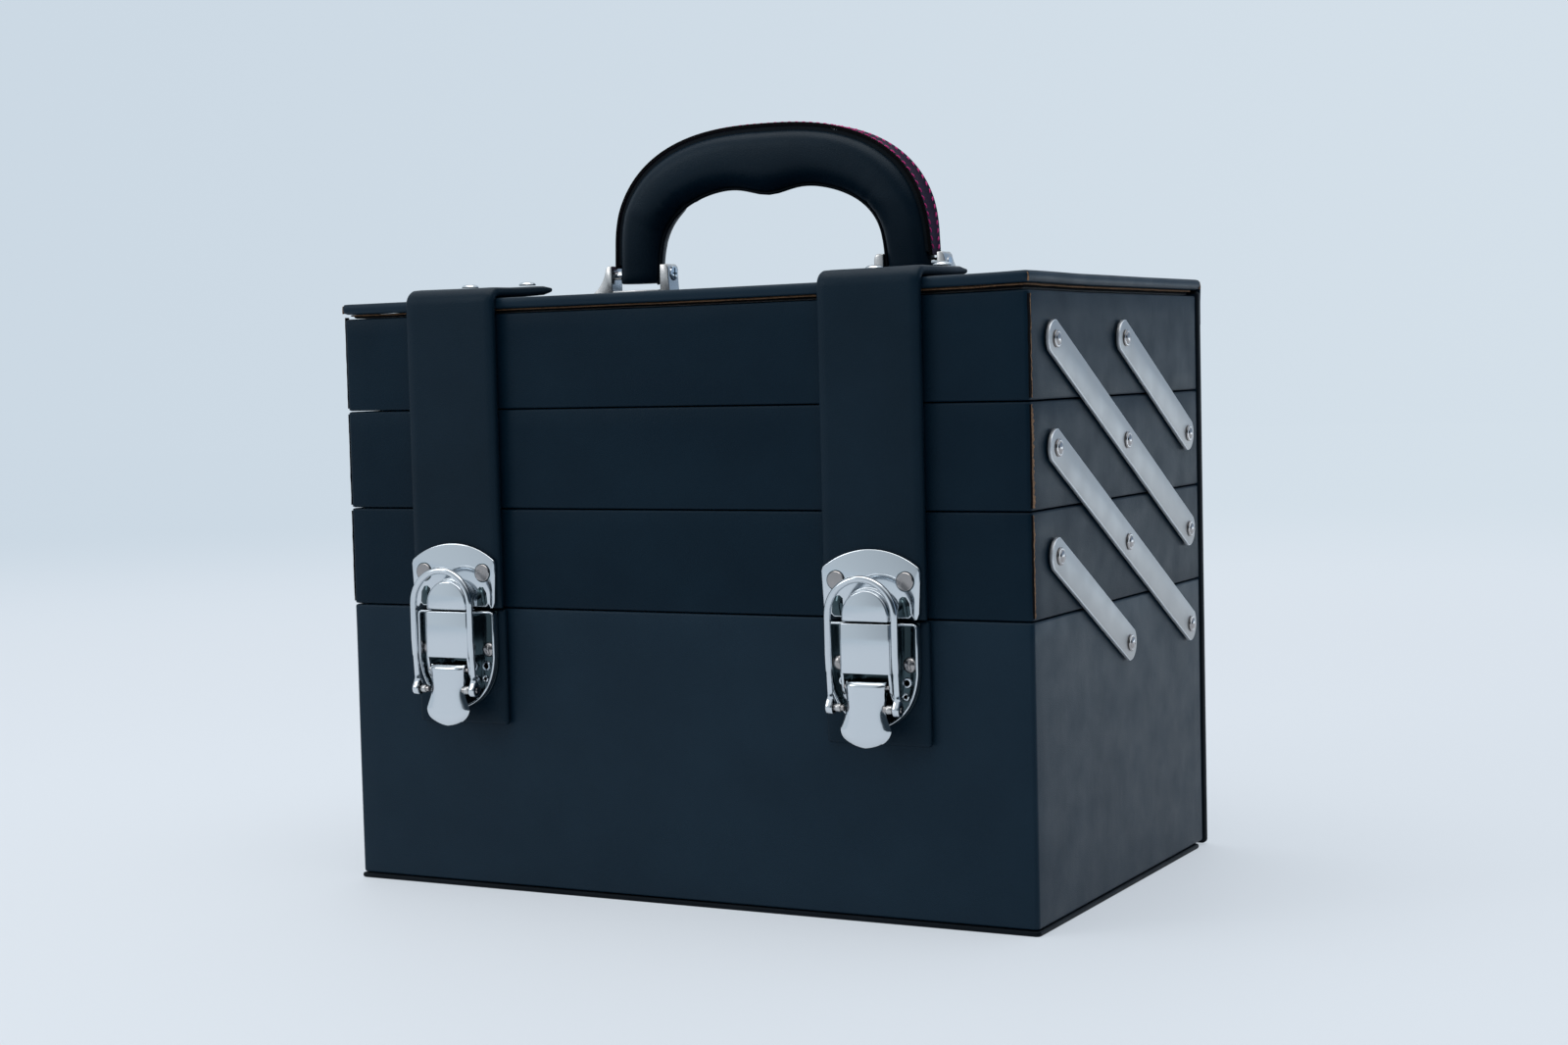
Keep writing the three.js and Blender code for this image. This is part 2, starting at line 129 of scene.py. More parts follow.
# ---- materials
def node(tree, kind, inputs=None, **settings):
    made = tree.nodes.new(kind)
    for key, value in settings.items():
        setattr(made, key, value)
    for key, value in (inputs or {}).items():
        if isinstance(value, bpy.types.NodeSocket):
            tree.links.new(value, made.inputs[key])
        else:
            made.inputs[key].default_value = value
    return made


def principled(name, color, rough, metal=0.0):
    material = bpy.data.materials.new(name)
    material.use_nodes = True
    tree = material.node_tree
    surface = tree.nodes["Principled BSDF"]
    surface.inputs["Base Color"].default_value = (*color, 1)
    surface.inputs["Roughness"].default_value = rough
    surface.inputs["Metallic"].default_value = metal
    return material, tree, surface


def place_of(tree):
    return node(tree, "ShaderNodeTexCoord").outputs["Object"]


def scaled(tree, value, low, high, start=0.0, end=1.0):
    inputs = {"Value": value, "From Min": start, "From Max": end, "To Min": low, "To Max": high}
    return node(tree, "ShaderNodeMapRange", inputs).outputs["Result"]


def mixed(tree, amount, first, second):
    """Two colours mixed; each is plain numbers or another node's output."""
    one, two = (c if isinstance(c, bpy.types.NodeSocket) else (*c, 1) for c in (first, second))
    return node(tree, "ShaderNodeMixRGB", {"Fac": amount, "Color1": one, "Color2": two}).outputs["Color"]


def cloud(tree, place, scale, detail=4.0, rough=0.55):
    inputs = {"Vector": place, "Scale": scale, "Detail": detail, "Roughness": rough}
    return node(tree, "ShaderNodeTexNoise", inputs).outputs["Fac"]


def stretched(tree, place, scale):
    return node(tree, "ShaderNodeMapping", {"Vector": place, "Scale": scale}).outputs["Vector"]


def bump(tree, strength, depth, height, under=None):
    """The normal of a relief, laid over an earlier one where there is one."""
    inputs = {"Strength": strength, "Distance": depth * MM, "Height": height}
    if under:
        inputs["Normal"] = under
    return node(tree, "ShaderNodeBump", inputs).outputs["Normal"]


def leather(name, dark, light, rough=(0.36, 0.48), grain=0.8, swell=0.25, shine=0.13):
    """Coated leather: fine pebbled grain, a slow swell over the board, and uneven gloss."""
    material, tree, surface = principled(name, dark, sum(rough) / 2)
    place = place_of(tree)
    patches = scaled(tree, cloud(tree, place, 26), 0, 1, 0.35, 0.7)
    tree.links.new(mixed(tree, patches, dark, light), surface.inputs["Base Color"])
    smears = cloud(tree, place, 60, 6)
    tree.links.new(scaled(tree, smears, *rough, 0.3, 0.7), surface.inputs["Roughness"])
    cells = node(tree, "ShaderNodeTexVoronoi", {"Vector": place, "Scale": 1 / (grain * MM)},
                 feature="DISTANCE_TO_EDGE").outputs["Distance"]
    streaks = bump(tree, 0.3, 0.06, cloud(tree, stretched(tree, place, (1, 1, 0.12)), 420, 4))
    waves = bump(tree, swell, 0.6, cloud(tree, place, 38, 3), streaks)
    pebbles = bump(tree, 0.5, 0.05, scaled(tree, cells, 0, 1, 0.0, 0.25), waves)
    tree.links.new(pebbles, surface.inputs["Normal"])
    surface.inputs["Specular IOR Level"].default_value = shine
    surface.inputs["Specular Tint"].default_value = (0.76, 0.9, 1.0, 1)
    return material


def metal(name, color, rough, scratch=0.2, brushed=(1, 1, 1)):
    """Plated or brushed metal with faint marks; brushed scales the marks along each axis."""
    material, tree, surface = principled(name, color, sum(rough) / 2, 1.0)
    place = place_of(tree)
    haze = cloud(tree, place, 90, 5)
    tree.links.new(scaled(tree, haze, *rough, 0.3, 0.7), surface.inputs["Roughness"])
    marks = cloud(tree, stretched(tree, place, brushed), 900, 4)
    tree.links.new(bump(tree, scratch, 0.02, marks), surface.inputs["Normal"])
    return material


def fibre(name, dark, light, scale=700, shine=0.3):
    """Raw board or suede edge: rough, flecked, with a ragged fibre relief."""
    material, tree, surface = principled(name, dark, 0.9)
    place = place_of(tree)
    flecks = cloud(tree, place, scale, 6, 0.7)
    amount = scaled(tree, flecks, 0, 1, 0.3, 0.7)
    tree.links.new(mixed(tree, amount, dark, light), surface.inputs["Base Color"])
    tree.links.new(bump(tree, 0.8, 0.3, flecks), surface.inputs["Normal"])
    surface.inputs["Specular IOR Level"].default_value = shine
    return material


def flock(name, dark, light):
    """The short-pile lining inside the box and trays."""
    material, tree, surface = principled(name, dark, 0.95)
    place = place_of(tree)
    drift = cloud(tree, place, 40, 4)
    tree.links.new(mixed(tree, drift, dark, light), surface.inputs["Base Color"])
    pile = cloud(tree, place, 1500, 3)
    tree.links.new(bump(tree, 0.6, 0.2, pile), surface.inputs["Normal"])
    surface.inputs["Sheen Weight"].default_value = 0.35
    return material


BOX_LEATHER = leather("box_leather", (0.0036, 0.0145, 0.0272), (0.0056, 0.0185, 0.033), shine=0.17)
# The trays' leather is the box leather made darker: painted shade on the upper part of the box.
SHADED_TRAY_LEATHER = leather("shaded_tray_leather", (0.0014, 0.0095, 0.019), (0.0026, 0.0125, 0.0235), shine=0.11)
STRAP_LEATHER = leather("strap_leather", (0.0024, 0.0105, 0.0195), (0.0038, 0.0135, 0.0245), grain=0.9)
PAD_LEATHER = leather("pad_leather", (0.0012, 0.0072, 0.0145), (0.0024, 0.0102, 0.0195), (0.33, 0.42),
                      0.9, 0.12, 0.16)
BAND_LEATHER = leather("band_leather", (0.012, 0.005, 0.019), (0.028, 0.009, 0.036), (0.5, 0.65), 0.7,
                       shine=0.05)
# A darker copy of the box leather: painted shade on the base board and on the back board's edges; also used
# for the band's hidden flange and the grip's piping.
DARK_AND_SHADED_LEATHER = leather("dark_and_shaded_leather", (0.002, 0.0035, 0.0055), (0.004, 0.006, 0.009), (0.45, 0.6), shine=0.1)
# Black edge paint on the band's sides; the same black is painted shade in the trays' end cracks and on the
# lid lining's side over the gap.
EDGE_PAINT_AND_SHADE = fibre("edge_paint_and_shade", (0.0015, 0.0015, 0.002), (0.004, 0.004, 0.005), 700, 0.08)
RAW_EDGE = fibre("raw_edge", (0.035, 0.02, 0.012), (0.34, 0.185, 0.095), 1100)
LINING = flock("lining", (0.011, 0.012, 0.015), (0.024, 0.025, 0.03))
NICKEL = metal("nickel", (0.615, 0.655, 0.69), (0.06, 0.13), 0.12)
# Painted shade: a dark copy of the nickel for the latch's pan, pockets, rivet crevices, pin holes, screw
# slots and the strip under the cover.
SHADE_NICKEL = metal("shaded_nickel", (0.05, 0.075, 0.085), (0.06, 0.18), 0.1)
PLATED = metal("bracket_plating", (0.52, 0.515, 0.51), (0.22, 0.32), 0.2)
RIVET_STEEL = metal("rivet_steel", (0.36, 0.34, 0.335), (0.14, 0.26), 0.3)
SATIN = metal("satin_aluminium", (0.44, 0.435, 0.43), (0.46, 0.56), 0.35, (1, 1, 0.15))
CUT = metal("cut_aluminium", (0.8, 0.82, 0.84), (0.42, 0.58), 0.6)
THREAD = fibre("thread", (0.42, 0.012, 0.13), (0.85, 0.06, 0.31), 1800)


# ---- mesh helpers
def new_piece(name, points, faces, looks, pick=None):
    """A mesh from points in millimetres; pick gives each face's index in looks."""
    mesh = bpy.data.meshes.new(name)
    mesh.from_pydata([Vector(p) * MM for p in points], [], faces)
    for look in looks:
        mesh.materials.append(look)
    if pick is not None:
        mesh.polygons.foreach_set("material_index", pick)
    face_out(mesh)
    return shown(name, mesh)


def face_out(mesh):
    work = bmesh.new()
    work.from_mesh(mesh)
    bmesh.ops.recalc_face_normals(work, faces=work.faces)
    work.to_mesh(mesh)
    work.free()


def smooth(piece, degrees=40):
    mesh = piece.data
    mesh.polygons.foreach_set("use_smooth", [True] * len(mesh.polygons))
    mesh.set_sharp_from_angle(angle=math.radians(degrees))
    return piece


def bevelled(piece, width, segments):
    """Rounds the edges sharper than 32 degrees."""
    bevel = piece.modifiers.new("bevel", "BEVEL")
    bevel.width = width * MM
    bevel.segments = segments
    bevel.limit_method = "ANGLE"
    bevel.angle_limit = math.radians(32)
    graph = bpy.context.evaluated_depsgraph_get()
    mesh = bpy.data.meshes.new_from_object(piece.evaluated_get(graph))
    piece.modifiers.clear()
    piece.data = mesh
    return smooth(piece, 50)


def arc(center, radius, start, end, steps=16):
    """Points on an arc, angles in degrees; radius is one number or (across, up)."""
    across, up = radius if isinstance(radius, tuple) else (radius, radius)
    turns = [math.radians(start + (end - start) * i / steps) for i in range(steps + 1)]
    return [(center[0] + across * math.cos(t), center[1] + up * math.sin(t)) for t in turns]


def way_at(path, i):
    """The direction of a path of points at its point i."""
    before, after = path[max(i - 1, 0)], path[min(i + 1, len(path) - 1)]
    return Vector([b - a for a, b in zip(before, after)]).normalized()


def bow(first, control, last, steps=8):
    """Points on a quadratic curve."""
    made = []
    for i in range(steps + 1):
        t = i / steps
        made.append(tuple((1 - t) ** 2 * a + 2 * t * (1 - t) * b + t * t * c
                          for a, b, c in zip(first, control, last)))
    return made


def mirrored(half):
    """A closed outline from its right half, listed from bottom to top."""
    return half + [(-x, z) for x, z in reversed(half) if abs(x) > 1e-6]


def prism(name, outline, axis, low, high, look, bevel=0.0, segments=3):
    """A closed outline in the other two axes, extruded along axis from low to high."""
    place = {"X": lambda a, b, c: (c, a, b), "Y": lambda a, b, c: (a, c, b),
             "Z": lambda a, b, c: (a, b, c)}[axis]
    count = len(outline)
    points = [place(a, b, c) for c in (low, high) for a, b in outline]
    faces = [tuple(range(count)), tuple(range(2 * count - 1, count - 1, -1))]
    faces += [(i, (i + 1) % count, count + (i + 1) % count, count + i) for i in range(count)]
    piece = new_piece(name, points, faces, [look])
    if bevel:
        return bevelled(piece, bevel, segments)
    return smooth(piece)


def joined(name, pieces):
    """Several pieces as one."""
    work = bmesh.new()
    looks = []
    for piece in pieces:
        start = len(work.faces)
        work.from_mesh(piece.data)
        work.faces.ensure_lookup_table()
        own = list(piece.data.materials)
        looks += [look for look in own if look not in looks]
        for face in work.faces[start:]:
            face.material_index = looks.index(own[face.material_index])
        bpy.data.objects.remove(piece)
    mesh = bpy.data.meshes.new(name)
    work.to_mesh(mesh)
    work.free()
    for look in looks:
        mesh.materials.append(look)
    return shown(name, mesh)


def skin(name, rings, looks, pick=None, soft=60):
    """A closed mesh through equal rings of points, shaded smooth over edges below soft degrees."""
    size, last = len(rings[0]), len(rings) - 1
    faces, picks = [], []
    for r in range(last):
        for i in range(size):
            k = (i + 1) % size
            faces.append((r * size + i, r * size + k, (r + 1) * size + k, (r + 1) * size + i))
            picks.append(pick(r, i) if pick else 0)
    faces += [tuple(range(size)), tuple(range(last * size, (last + 1) * size))]
    picks += [pick(0, 0), pick(last - 1, 0)] if pick else [0, 0]
    return smooth(new_piece(name, [p for ring in rings for p in ring], faces, looks, picks), soft)


def wobble(point, size_mm, seed=0.0):
    """Slow, repeatable noise between about -1 and 1 at a point."""
    return noise.noise(Vector(point) / size_mm + Vector((seed, seed * 1.7, seed * 0.3)))


def dressed(piece, body, slot, *nodes):
    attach(piece, body)
    if nodes:
        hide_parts(*nodes)
    return piece


def turned(name, profile, at, out, look, sides=32):
    """A turned piece: (radius, height) points spun about an axis through at, towards out."""
    out = Vector(out)
    across = out.orthogonal().normalized()
    beside = out.cross(across)
    rings = []
    turns = [2 * math.pi * i / sides for i in range(sides)]
    for radius, height in profile:
        center, radius = Vector(at) + out * height, max(radius, 0.02)
        rings.append([center + radius * (across * math.cos(a) + beside * math.sin(a)) for a in turns])
    return skin(name, rings, [look], soft=35)


# ---- boards, box and trays
STEP = 9.0             # spacing of the points along a wall
CORNER = 1.8           # radius of an upright corner
CORNER_STEPS = 5
WALL = 3
ROLLED_EDGE = 0.9      # radius of the leather's roll over a box's rim and foot
PRESSED_IN = 0.22      # how far a covered wall dips between its corners


def corner_ring(x, y, z, inset, radius=CORNER):
    """A rounded rectangle at height z, drawn in by inset, always with the same number of points."""
    low_x, high_x, low_y, high_y = x[0] + inset, x[1] - inset, y[0] + inset, y[1] - inset
    r = max(radius - inset * 0.5, 0.3)
    along_x = max(2, round((x[1] - x[0]) / STEP))
    along_y = max(2, round((y[1] - y[0]) / STEP))
    corners = [((high_x - r, low_y + r), -90, along_y), ((high_x - r, high_y - r), 0, along_x),
               ((low_x + r, high_y - r), 90, along_y), ((low_x + r, low_y + r), 180, along_x)]
    ring = []
    for k, (center, start, count) in enumerate(corners):
        turn = arc(center, r, start, start + 90, CORNER_STEPS)
        ring += turn
        following = arc(corners[(k + 1) % 4][0], r, start + 90, start + 180, CORNER_STEPS)[0]
        for i in range(1, count):
            t = i / count
            ring.append((turn[-1][0] * (1 - t) + following[0] * t, turn[-1][1] * (1 - t) + following[1] * t))
    return [(px, py, z) for px, py in ring]


def pressed(ring, x, y, depth, seed):
    """The covered wall isn't dead flat: its points move in a little, never out."""
    moved = []
    cx, cy = sum(x) / 2, sum(y) / 2
    for px, py, z in ring:
        amount = depth * (0.5 + 0.5 * wobble((px, py, z), 45, seed))
        if abs(px - cx) > (x[1] - x[0]) / 2 - 3:
            px -= math.copysign(amount, px - cx)
        if abs(py - cy) > (y[1] - y[0]) / 2 - 3:
            py -= math.copysign(amount, py - cy)
        moved.append((px, py, z))
    return moved


def wrapped_box(name, cad, floor, seed):
    """An open box of covered board: rounded wrapped edges outside, a rolled rim, and a flocked inside."""
    x, y, (bottom, top) = box_spans(cad)
    edge, wall = ROLLED_EDGE, WALL
    profile = [(edge, bottom, 0), (edge * 0.3, bottom + edge * 0.3, 0), (0, bottom + edge, 0)]
    rows = max(2, round((top - bottom) / 8))
    profile += [(0, bottom + edge + (top - bottom - 2 * edge) * i / rows, 0) for i in range(1, rows)]
    profile += [(0, top - edge, 0), (edge * 0.3, top - edge * 0.3, 0), (edge, top, 0), (wall - edge, top, 0),
                (wall - edge * 0.3, top - edge * 0.3, 0), (wall, top - edge, 1), (wall, bottom + floor, 1)]
    rings = []
    for inset, z, _ in profile:
        rings.append(pressed(corner_ring(x, y, z, inset), x, y, 0 if inset else PRESSED_IN, seed))
    # The trays take the darker copy of the leather as painted shade.
    cover = BOX_LEATHER if cad == "bottom_box" else SHADED_TRAY_LEATHER
    return skin(name, rings, [cover, LINING], lambda r, i: profile[r + 1][2])


def wrapped_board(name, x, y, z, edge, look=BOX_LEATHER, radius=CORNER, seed=3.0, dip=0.0):
    """A flat board in a leather cover with soft edges and a faintly uneven top."""
    profile = [(edge, z[0]), (edge * 0.3, z[0] + edge * 0.3), (0, z[0] + edge),
               (0, z[1] - edge), (edge * 0.3, z[1] - edge * 0.3), (edge, z[1])]
    narrow = min(x[1] - x[0], y[1] - y[0]) / 2
    profile += [(inset, z[1]) for inset in (6, 18, 42, 70) if inset < narrow - 2]
    rings = []
    for inset, h in profile:
        ring = corner_ring(x, y, h, inset, radius)
        if h == z[1]:
            ring = [(*p[:2], p[2] - dip * (0.5 + 0.5 * wobble(p, 60, seed))) for p in ring]
        rings.append(ring)
    return skin(name, rings, [look])


def on_side(points, sign):
    return [(sign * px, py, pz) for px, py, pz in points]


def raw_strip(name, cad, sign, gap, width, seed):
    """The cover's cut end on a side, just behind the front corner: a crack filled with black as painted
    shade, then ragged brown board.
    """
    low, high = span(cad)
    x = high[0] + 0.1
    front = low[1] + 0.75
    rings = []
    for z in np.linspace(low[2] + 1, high[2] - 1, 91):
        wide = width * (0.8 + 0.5 * wobble((0, 0, z), 9, seed) + 0.8 * wobble((0, 0, z), 1.3, seed))
        wide = max(wide, 0.3)
        start = front + 0.2 * wobble((5, 0, z), 4, seed)
        crack = gap * (1 + 0.5 * wobble((9, 0, z), 2.5, seed))
        ring = [(x - 0.6, start, z), (x - 0.04, start + 0.02, z), (x - 0.04, start + crack, z),
                (x + 0.08, start + crack + 0.05, z), (x + 0.1, start + crack + wide * 0.6, z),
                (x, start + crack + wide, z), (x - 0.6, start + crack + wide + 0.1, z)]
        rings.append(on_side(ring, sign))
    return skin(name, rings, [EDGE_PAINT_AND_SHADE, RAW_EDGE], lambda r, i: 1 if i in (2, 3, 4, 5) else 0, 50)


# body, end of the piece's name, floor, seed, and the crack's and raw strip's widths at the front corners
BOXES = {
    "bottom_box": ("base", "box", 3, 1.0, None),
    "tray_lower": ("lower_tray", "tray_lower", 2, 4.0, (0.6, 1.3)),
    "tray_middle": ("middle_tray", "tray_middle", 2, 7.0, (0.5, 2.2)),
    "tray_upper": ("upper_tray", "tray_upper", 2, 9.0, (1.3, 0.8)),
}


def build_boards():
    for cad, (body, name, floor, seed, strip) in BOXES.items():
        box = wrapped_box(f"covered_{name}", cad, floor, seed)
        if cad == "tray_upper":
            rim = span(cad)[1][2]
            sink(box, lambda px, py, pz: RIM_SHARE * max(0.0, 1 - (rim - pz) / RIM_REACH))
        dressed(box, body, "leather", cad)
        for side, sign in SIDES.items() if strip else ():
            dressed(raw_strip(f"raw_end_{cad}_{side}", cad, sign, *strip, seed), body, "raw_edge")
    # The base board takes the darker leather all over: painted shade on its edge.
    board = wrapped_board("covered_base", *box_spans("base_board"), 0.7, DARK_AND_SHADED_LEATHER)
    dressed(board, "base", "leather", "base_board")
    lid = wrapped_board("covered_lid", *box_spans("lid"), 1.5, dip=0.35)
    dressed(sink(lid, lambda px, py, pz: 1.0), "lid", "leather", "lid")
    # The back board's front and back faces take the box leather; its edges take the darker copy as painted
    # shade.
    back = standing_board("covered_back", "back_board", 1.1, DARK_AND_SHADED_LEATHER)
    back.data.materials.append(BOX_LEATHER)
    for face in back.data.polygons:
        face.material_index = 1 if abs(face.normal.y) > 0.97 else 0
    dressed(back, "upper_tray", "leather", "back_board")


SAG = ((-150, 2.3), (-95, 2.2), (0, 1.7), (89, 0.9), (135, 0.0), (150, -0.5))
RIM_SHARE = 0.75       # the upper tray's share of the sag at its rim
RIM_REACH = 9          # how far below the rim that share fades out


def sag(x, y):
    """How far the used lid's front edge has sunk: most at the left, with the right corner curled up."""
    reach = min(max((-28 - y) / 55, 0.0), 1.0)
    return float(np.interp(x, *zip(*SAG))) * reach * reach * (3 - 2 * reach)


def sink(piece, share):
    """Lowers a piece with the lid's front edge; share says how much of the sag a point takes."""
    for vertex in piece.data.vertices:
        px, py, pz = vertex.co / MM
        vertex.co.z -= sag(px, py) * share(px, py, pz) * MM
    return piece


def standing_board(name, cad, edge, look, *shape):
    """A wrapped board that stands with its top facing the front: made flat, then turned up."""
    x, y, z = box_spans(cad)
    board = wrapped_board(name, x, z, (-y[1], -y[0]), edge, look, *shape)
    for vertex in board.data.vertices:
        px, py, pz = vertex.co
        vertex.co = (px, -pz, py)
    face_out(board.data)
    return board


def lid_edge():
    """The lid's inner board: a thin ragged line of raw board under the fold, a black side below it as painted
    shade over the gap, and lining underneath.
    """
    x, y, (low, high) = box_spans("lid_lining")
    rings = []
    under = [(inset, low, 0) for inset in (72, 44, 20, 8, 2.6)]
    for inset, z, rag in under + [(1.9, low + 0.4, 0), (1.8, high - 0.75, 0), (0.5, high - 0.62, 1),
                                  (0.1, high - 0.25, 1), (0.4, high + 0.12, 1)]:
        ring = []
        for px, py, pz in corner_ring(x, y, z, inset):
            ragged = rag * (0.5 + 0.5 * wobble((px, py, pz), 2.3, 2.0))
            px -= math.copysign(0.9 * ragged, px)
            py -= math.copysign(0.9 * ragged, py)
            droop = 0.22 * rag * wobble((px, py, 0), 9, 5.0) + 0.14 * rag * wobble((px, py, 0), 2.1, 8.0)
            ring.append((px, py, min(pz + droop, high + 0.15)))
        rings.append(ring)
    looks = [EDGE_PAINT_AND_SHADE, RAW_EDGE, LINING]
    piece = skin("raw_lid_lining", rings, looks, lambda r, i: 2 if r < len(under) else 1 if r > 6 else 0)
    sink(piece, lambda px, py, pz: min(max(0.82 + 0.18 * (pz - low) / (high - low), 0.8), 1.0))
    dressed(piece, "lid", "raw_edge", "lid_lining")


def lid_corner_folds():
    """Where the cover is folded at the lid's corners a raw edge shows, narrow at the top and wider below."""
    low, high = span("lid")
    for side, sign in SIDES.items():
        for end, y in (("front", low[1] + 0.75), ("rear", high[1] - 0.75)):
            lean = 1 if end == "front" else -1
            rings = []
            for i in range(13):
                z = low[2] + 0.35 + (high[2] - low[2] - 1.3) * i / 12
                wide = 0.75 * (1 - 0.6 * i / 12) * (1 + 0.5 * wobble((y, 0, z), 0.9, 4.0 + sign))
                x = high[0] - 0.02 - 0.25 * (i / 12) ** 4
                ring = [(x - 0.5, y, z), (x + 0.05, y, z), (x + 0.1, y + lean * wide / 2, z),
                        (x + 0.02, y + lean * wide, z), (x - 0.5, y + lean * wide, z)]
                rings.append(on_side(ring, sign))
            piece = skin(f"raw_fold_{end}_{side}", rings, [RAW_EDGE])
            dressed(sink(piece, lambda px, py, pz: 1.0), "lid", "raw_edge")


def lid_spine():
    """The leather hinge that joins the lid to the rear board."""
    x, (_, rear), (bottom, top) = box_spans("lid")
    _, (_, back), (_, edge) = box_spans("back_board")
    outer = rear + 0.25
    outline = [(outer + 0.5, top - 2.2), (outer + 0.75, top - 3.2), (outer + 0.5, edge - 0.4),
               (back + 0.55, edge - 5), (back + 0.45, edge - 14), (back + 0.02, edge - 14),
               (back + 0.02, edge - 5), (back + 0.1, edge - 0.6), (outer - 0.2, top - 3.0),
               (outer - 0.2, top - 2.2)]
    rings = []
    for i in range(41):
        px = x[0] + 0.4 + (x[1] - x[0] - 0.8) * i / 40
        rings.append([(px, y + 0.08 * wobble((px, y, z), 12, 6.0), z) for y, z in outline])
    piece = skin("lid_spine", rings, [BOX_LEATHER])
    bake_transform(piece)


# ---- links and rivets
LINKS = {
    "long_link_lower": ("lower_links", "rivet_box_rear", "rivet_middle_front"),
    "long_link_upper": ("upper_links", "rivet_lower_rear", "rivet_upper_front"),
    "short_link_lower": ("short_lower_links", "rivet_box_middle", "rivet_lower_front"),
    "short_link_upper": ("short_upper_links", "rivet_middle_rear", "rivet_upper_middle"),
}
LINK_HALF = 6.4
LINK_END = 6.9         # the stamped ends are rounder than half a circle


def bar_outline(first, last, steps=18):
    lean = math.degrees(math.atan2(last[1] - first[1], last[0] - first[0]))
    open_to = math.degrees(math.asin(LINK_HALF / LINK_END))
    ends = ((first, lean + 180), (last, lean))
    return [p for at, way in ends for p in arc(at, LINK_END, way - open_to, way + open_to, steps)]


def build_links():
    for side in SIDES:
        for name, (body, *rivets) in LINKS.items():
            cad = f"{name}_{side}"
            low, high = span(cad)
            ends = [middle(f"{rivet}_{side}")[1:] for rivet in rivets]
            bar = prism(f"satin_{cad}", bar_outline(*ends), "X", low[0], high[0], CUT, 0.22, 2)
            bar.data.materials.append(SATIN)
            for face in bar.data.polygons:
                face.material_index = 1 if abs(face.normal.x) > 0.98 else 0
            dressed(bar, body, "aluminium", cad)


def build_rivets():
    for cad, made in frame["nodes"].items():
        if not cad.startswith("rivet_"):
            continue
        sign = 1 if cad.endswith("right") else -1
        low, high = span(cad)
        inside = low[0] if sign > 0 else high[0]
        depth = high[0] - low[0]
        profile = [(0, 0), (2, 0)]
        profile += [(radius, depth - down) for radius, down in (
            (2, 1.35), (3.2, 1.35), (3.3, 1.1), (3.05, 0.75), (2.6, 0.62), (2.35, 0.7), (2.2, 0.45),
            (1.5, 0.1), (0, 0))]
        dome = turned(f"domed_{cad}", profile, (inside, *middle(cad)[1:]), (sign, 0, 0), RIVET_STEEL)
        dressed(dome, made["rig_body"], "aluminium", cad)


# ---- straps
STRAP_TURN = 4.4             # bend radius of the strap's middle over the lid's edge


def strap_path(side):
    """The strap's middle line in (y, z), from its end on the lid, over the edge and down."""
    _, (_, rear), (flat_low, flat_high) = box_spans(f"strap_tab_{side}")
    _, (front, back), (bottom, _) = box_spans(f"strap_{side}")
    flat, hang = (flat_low + flat_high) / 2, (front + back) / 2
    path = [(rear - (rear - hang - STRAP_TURN) * i / 8, flat) for i in range(8)]
    path += arc((hang + STRAP_TURN, flat - STRAP_TURN), STRAP_TURN, 90, 180, 8)
    start = flat - STRAP_TURN
    return path + [(hang, start - (start - bottom) * i / 26) for i in range(1, 27)]


def build_strap(side):
    (left, right), (front, back), _ = box_spans(f"strap_{side}")
    x, half, thick = (left + right) / 2, (right - left) / 2, back - front
    path = strap_path(side)
    bend = [(half - 4, 1.0), (half - 1.1, 0.94), (half - 0.25, 0.62), (half, 0), (half - 0.25, -0.62),
            (half - 1.1, -0.94), (half - 4, -1.0)]
    middle_row = [(-half + 4 + (2 * half - 8) * i / 8, 1.0) for i in range(1, 8)]
    section = [(-a, b) for a, b in bend[3::-1]] + middle_row + bend + [(-a, b) for a, b in bend[:3:-1]]
    rings = []
    for i, (y, z) in enumerate(path):
        along = way_at(path, i)
        swell = {0: 0.55, 1: 0.97}.get(min(i, len(path) - 1 - i), 1.0)
        ring = []
        for sx, st in section:
            lift = st * thick / 2 * swell
            if st > 0.9:
                lift -= 0.18 * (0.5 + 0.5 * wobble((sx, y, z), 22, x))
            ring.append((x + sx, y + along.y * lift, z - along.x * lift))
        rings.append(ring)
    piece = skin(f"leather_strap_{side}", rings, [STRAP_LEATHER])
    sink(piece, lambda px, py, pz: min(max((pz - 205) / 28, 0.0), 1.0))
    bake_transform(piece)
    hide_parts(f"strap_{side}", f"strap_tab_{side}")


def build_patch(side):
    cad = f"latch_patch_{side}"
    board = standing_board(f"leather_patch_{side}", cad, 1.2, STRAP_LEATHER, 1.2, 8.0, 0.25)
    dressed(board, "base", "strap_leather", cad)


def build_tab_rivets(side):
    for place in ("outer", "inner"):
        cad = f"tab_rivet_{place}_{side}"
        x, y, _ = middle(cad)
        base = span(cad)[0][2] - sag(x, y)
        profile = [(0, 0), (3.3, 0), (3.5, 0.35), (3.3, 0.8), (2.6, 1.25), (1.4, 1.5), (0, 1.58)]
        dressed(turned(f"domed_{cad}", profile, (x, y, base), (0, 0, 1), NICKEL), "lid", "nickel", cad)


# ---- latches
FORWARD = (0, -1, 0)


def flat_rivet(at, radius, height):
    """A flat rivet head with a dark ring round it: painted shade in its crevice."""
    profile = [(0, 0), (radius, 0), (radius + 0.05, height * 0.6), (radius * 0.93, height), (0, height + 0.1)]
    crevice = [(0, 0), (radius + 0.45, 0), (radius + 0.3, 0.06), (0, 0.06)]
    return [turned("rivet", profile, at, FORWARD, RIVET_STEEL),
            turned("crevice", crevice, at, FORWARD, SHADE_NICKEL)]


def nose_outline(x, radius, bottom, spring):
    half = [(x - radius, bottom), (x + radius, bottom)]
    return half + [(x + px, z) for px, z in arc((0, spring), radius, 0, 180, 28)]


def placed(cad):
    """A CAD node's low and high corners, its middle x and half its width."""
    low, high = span(cad)
    return low, high, (low[0] + high[0]) / 2, (high[0] - low[0]) / 2


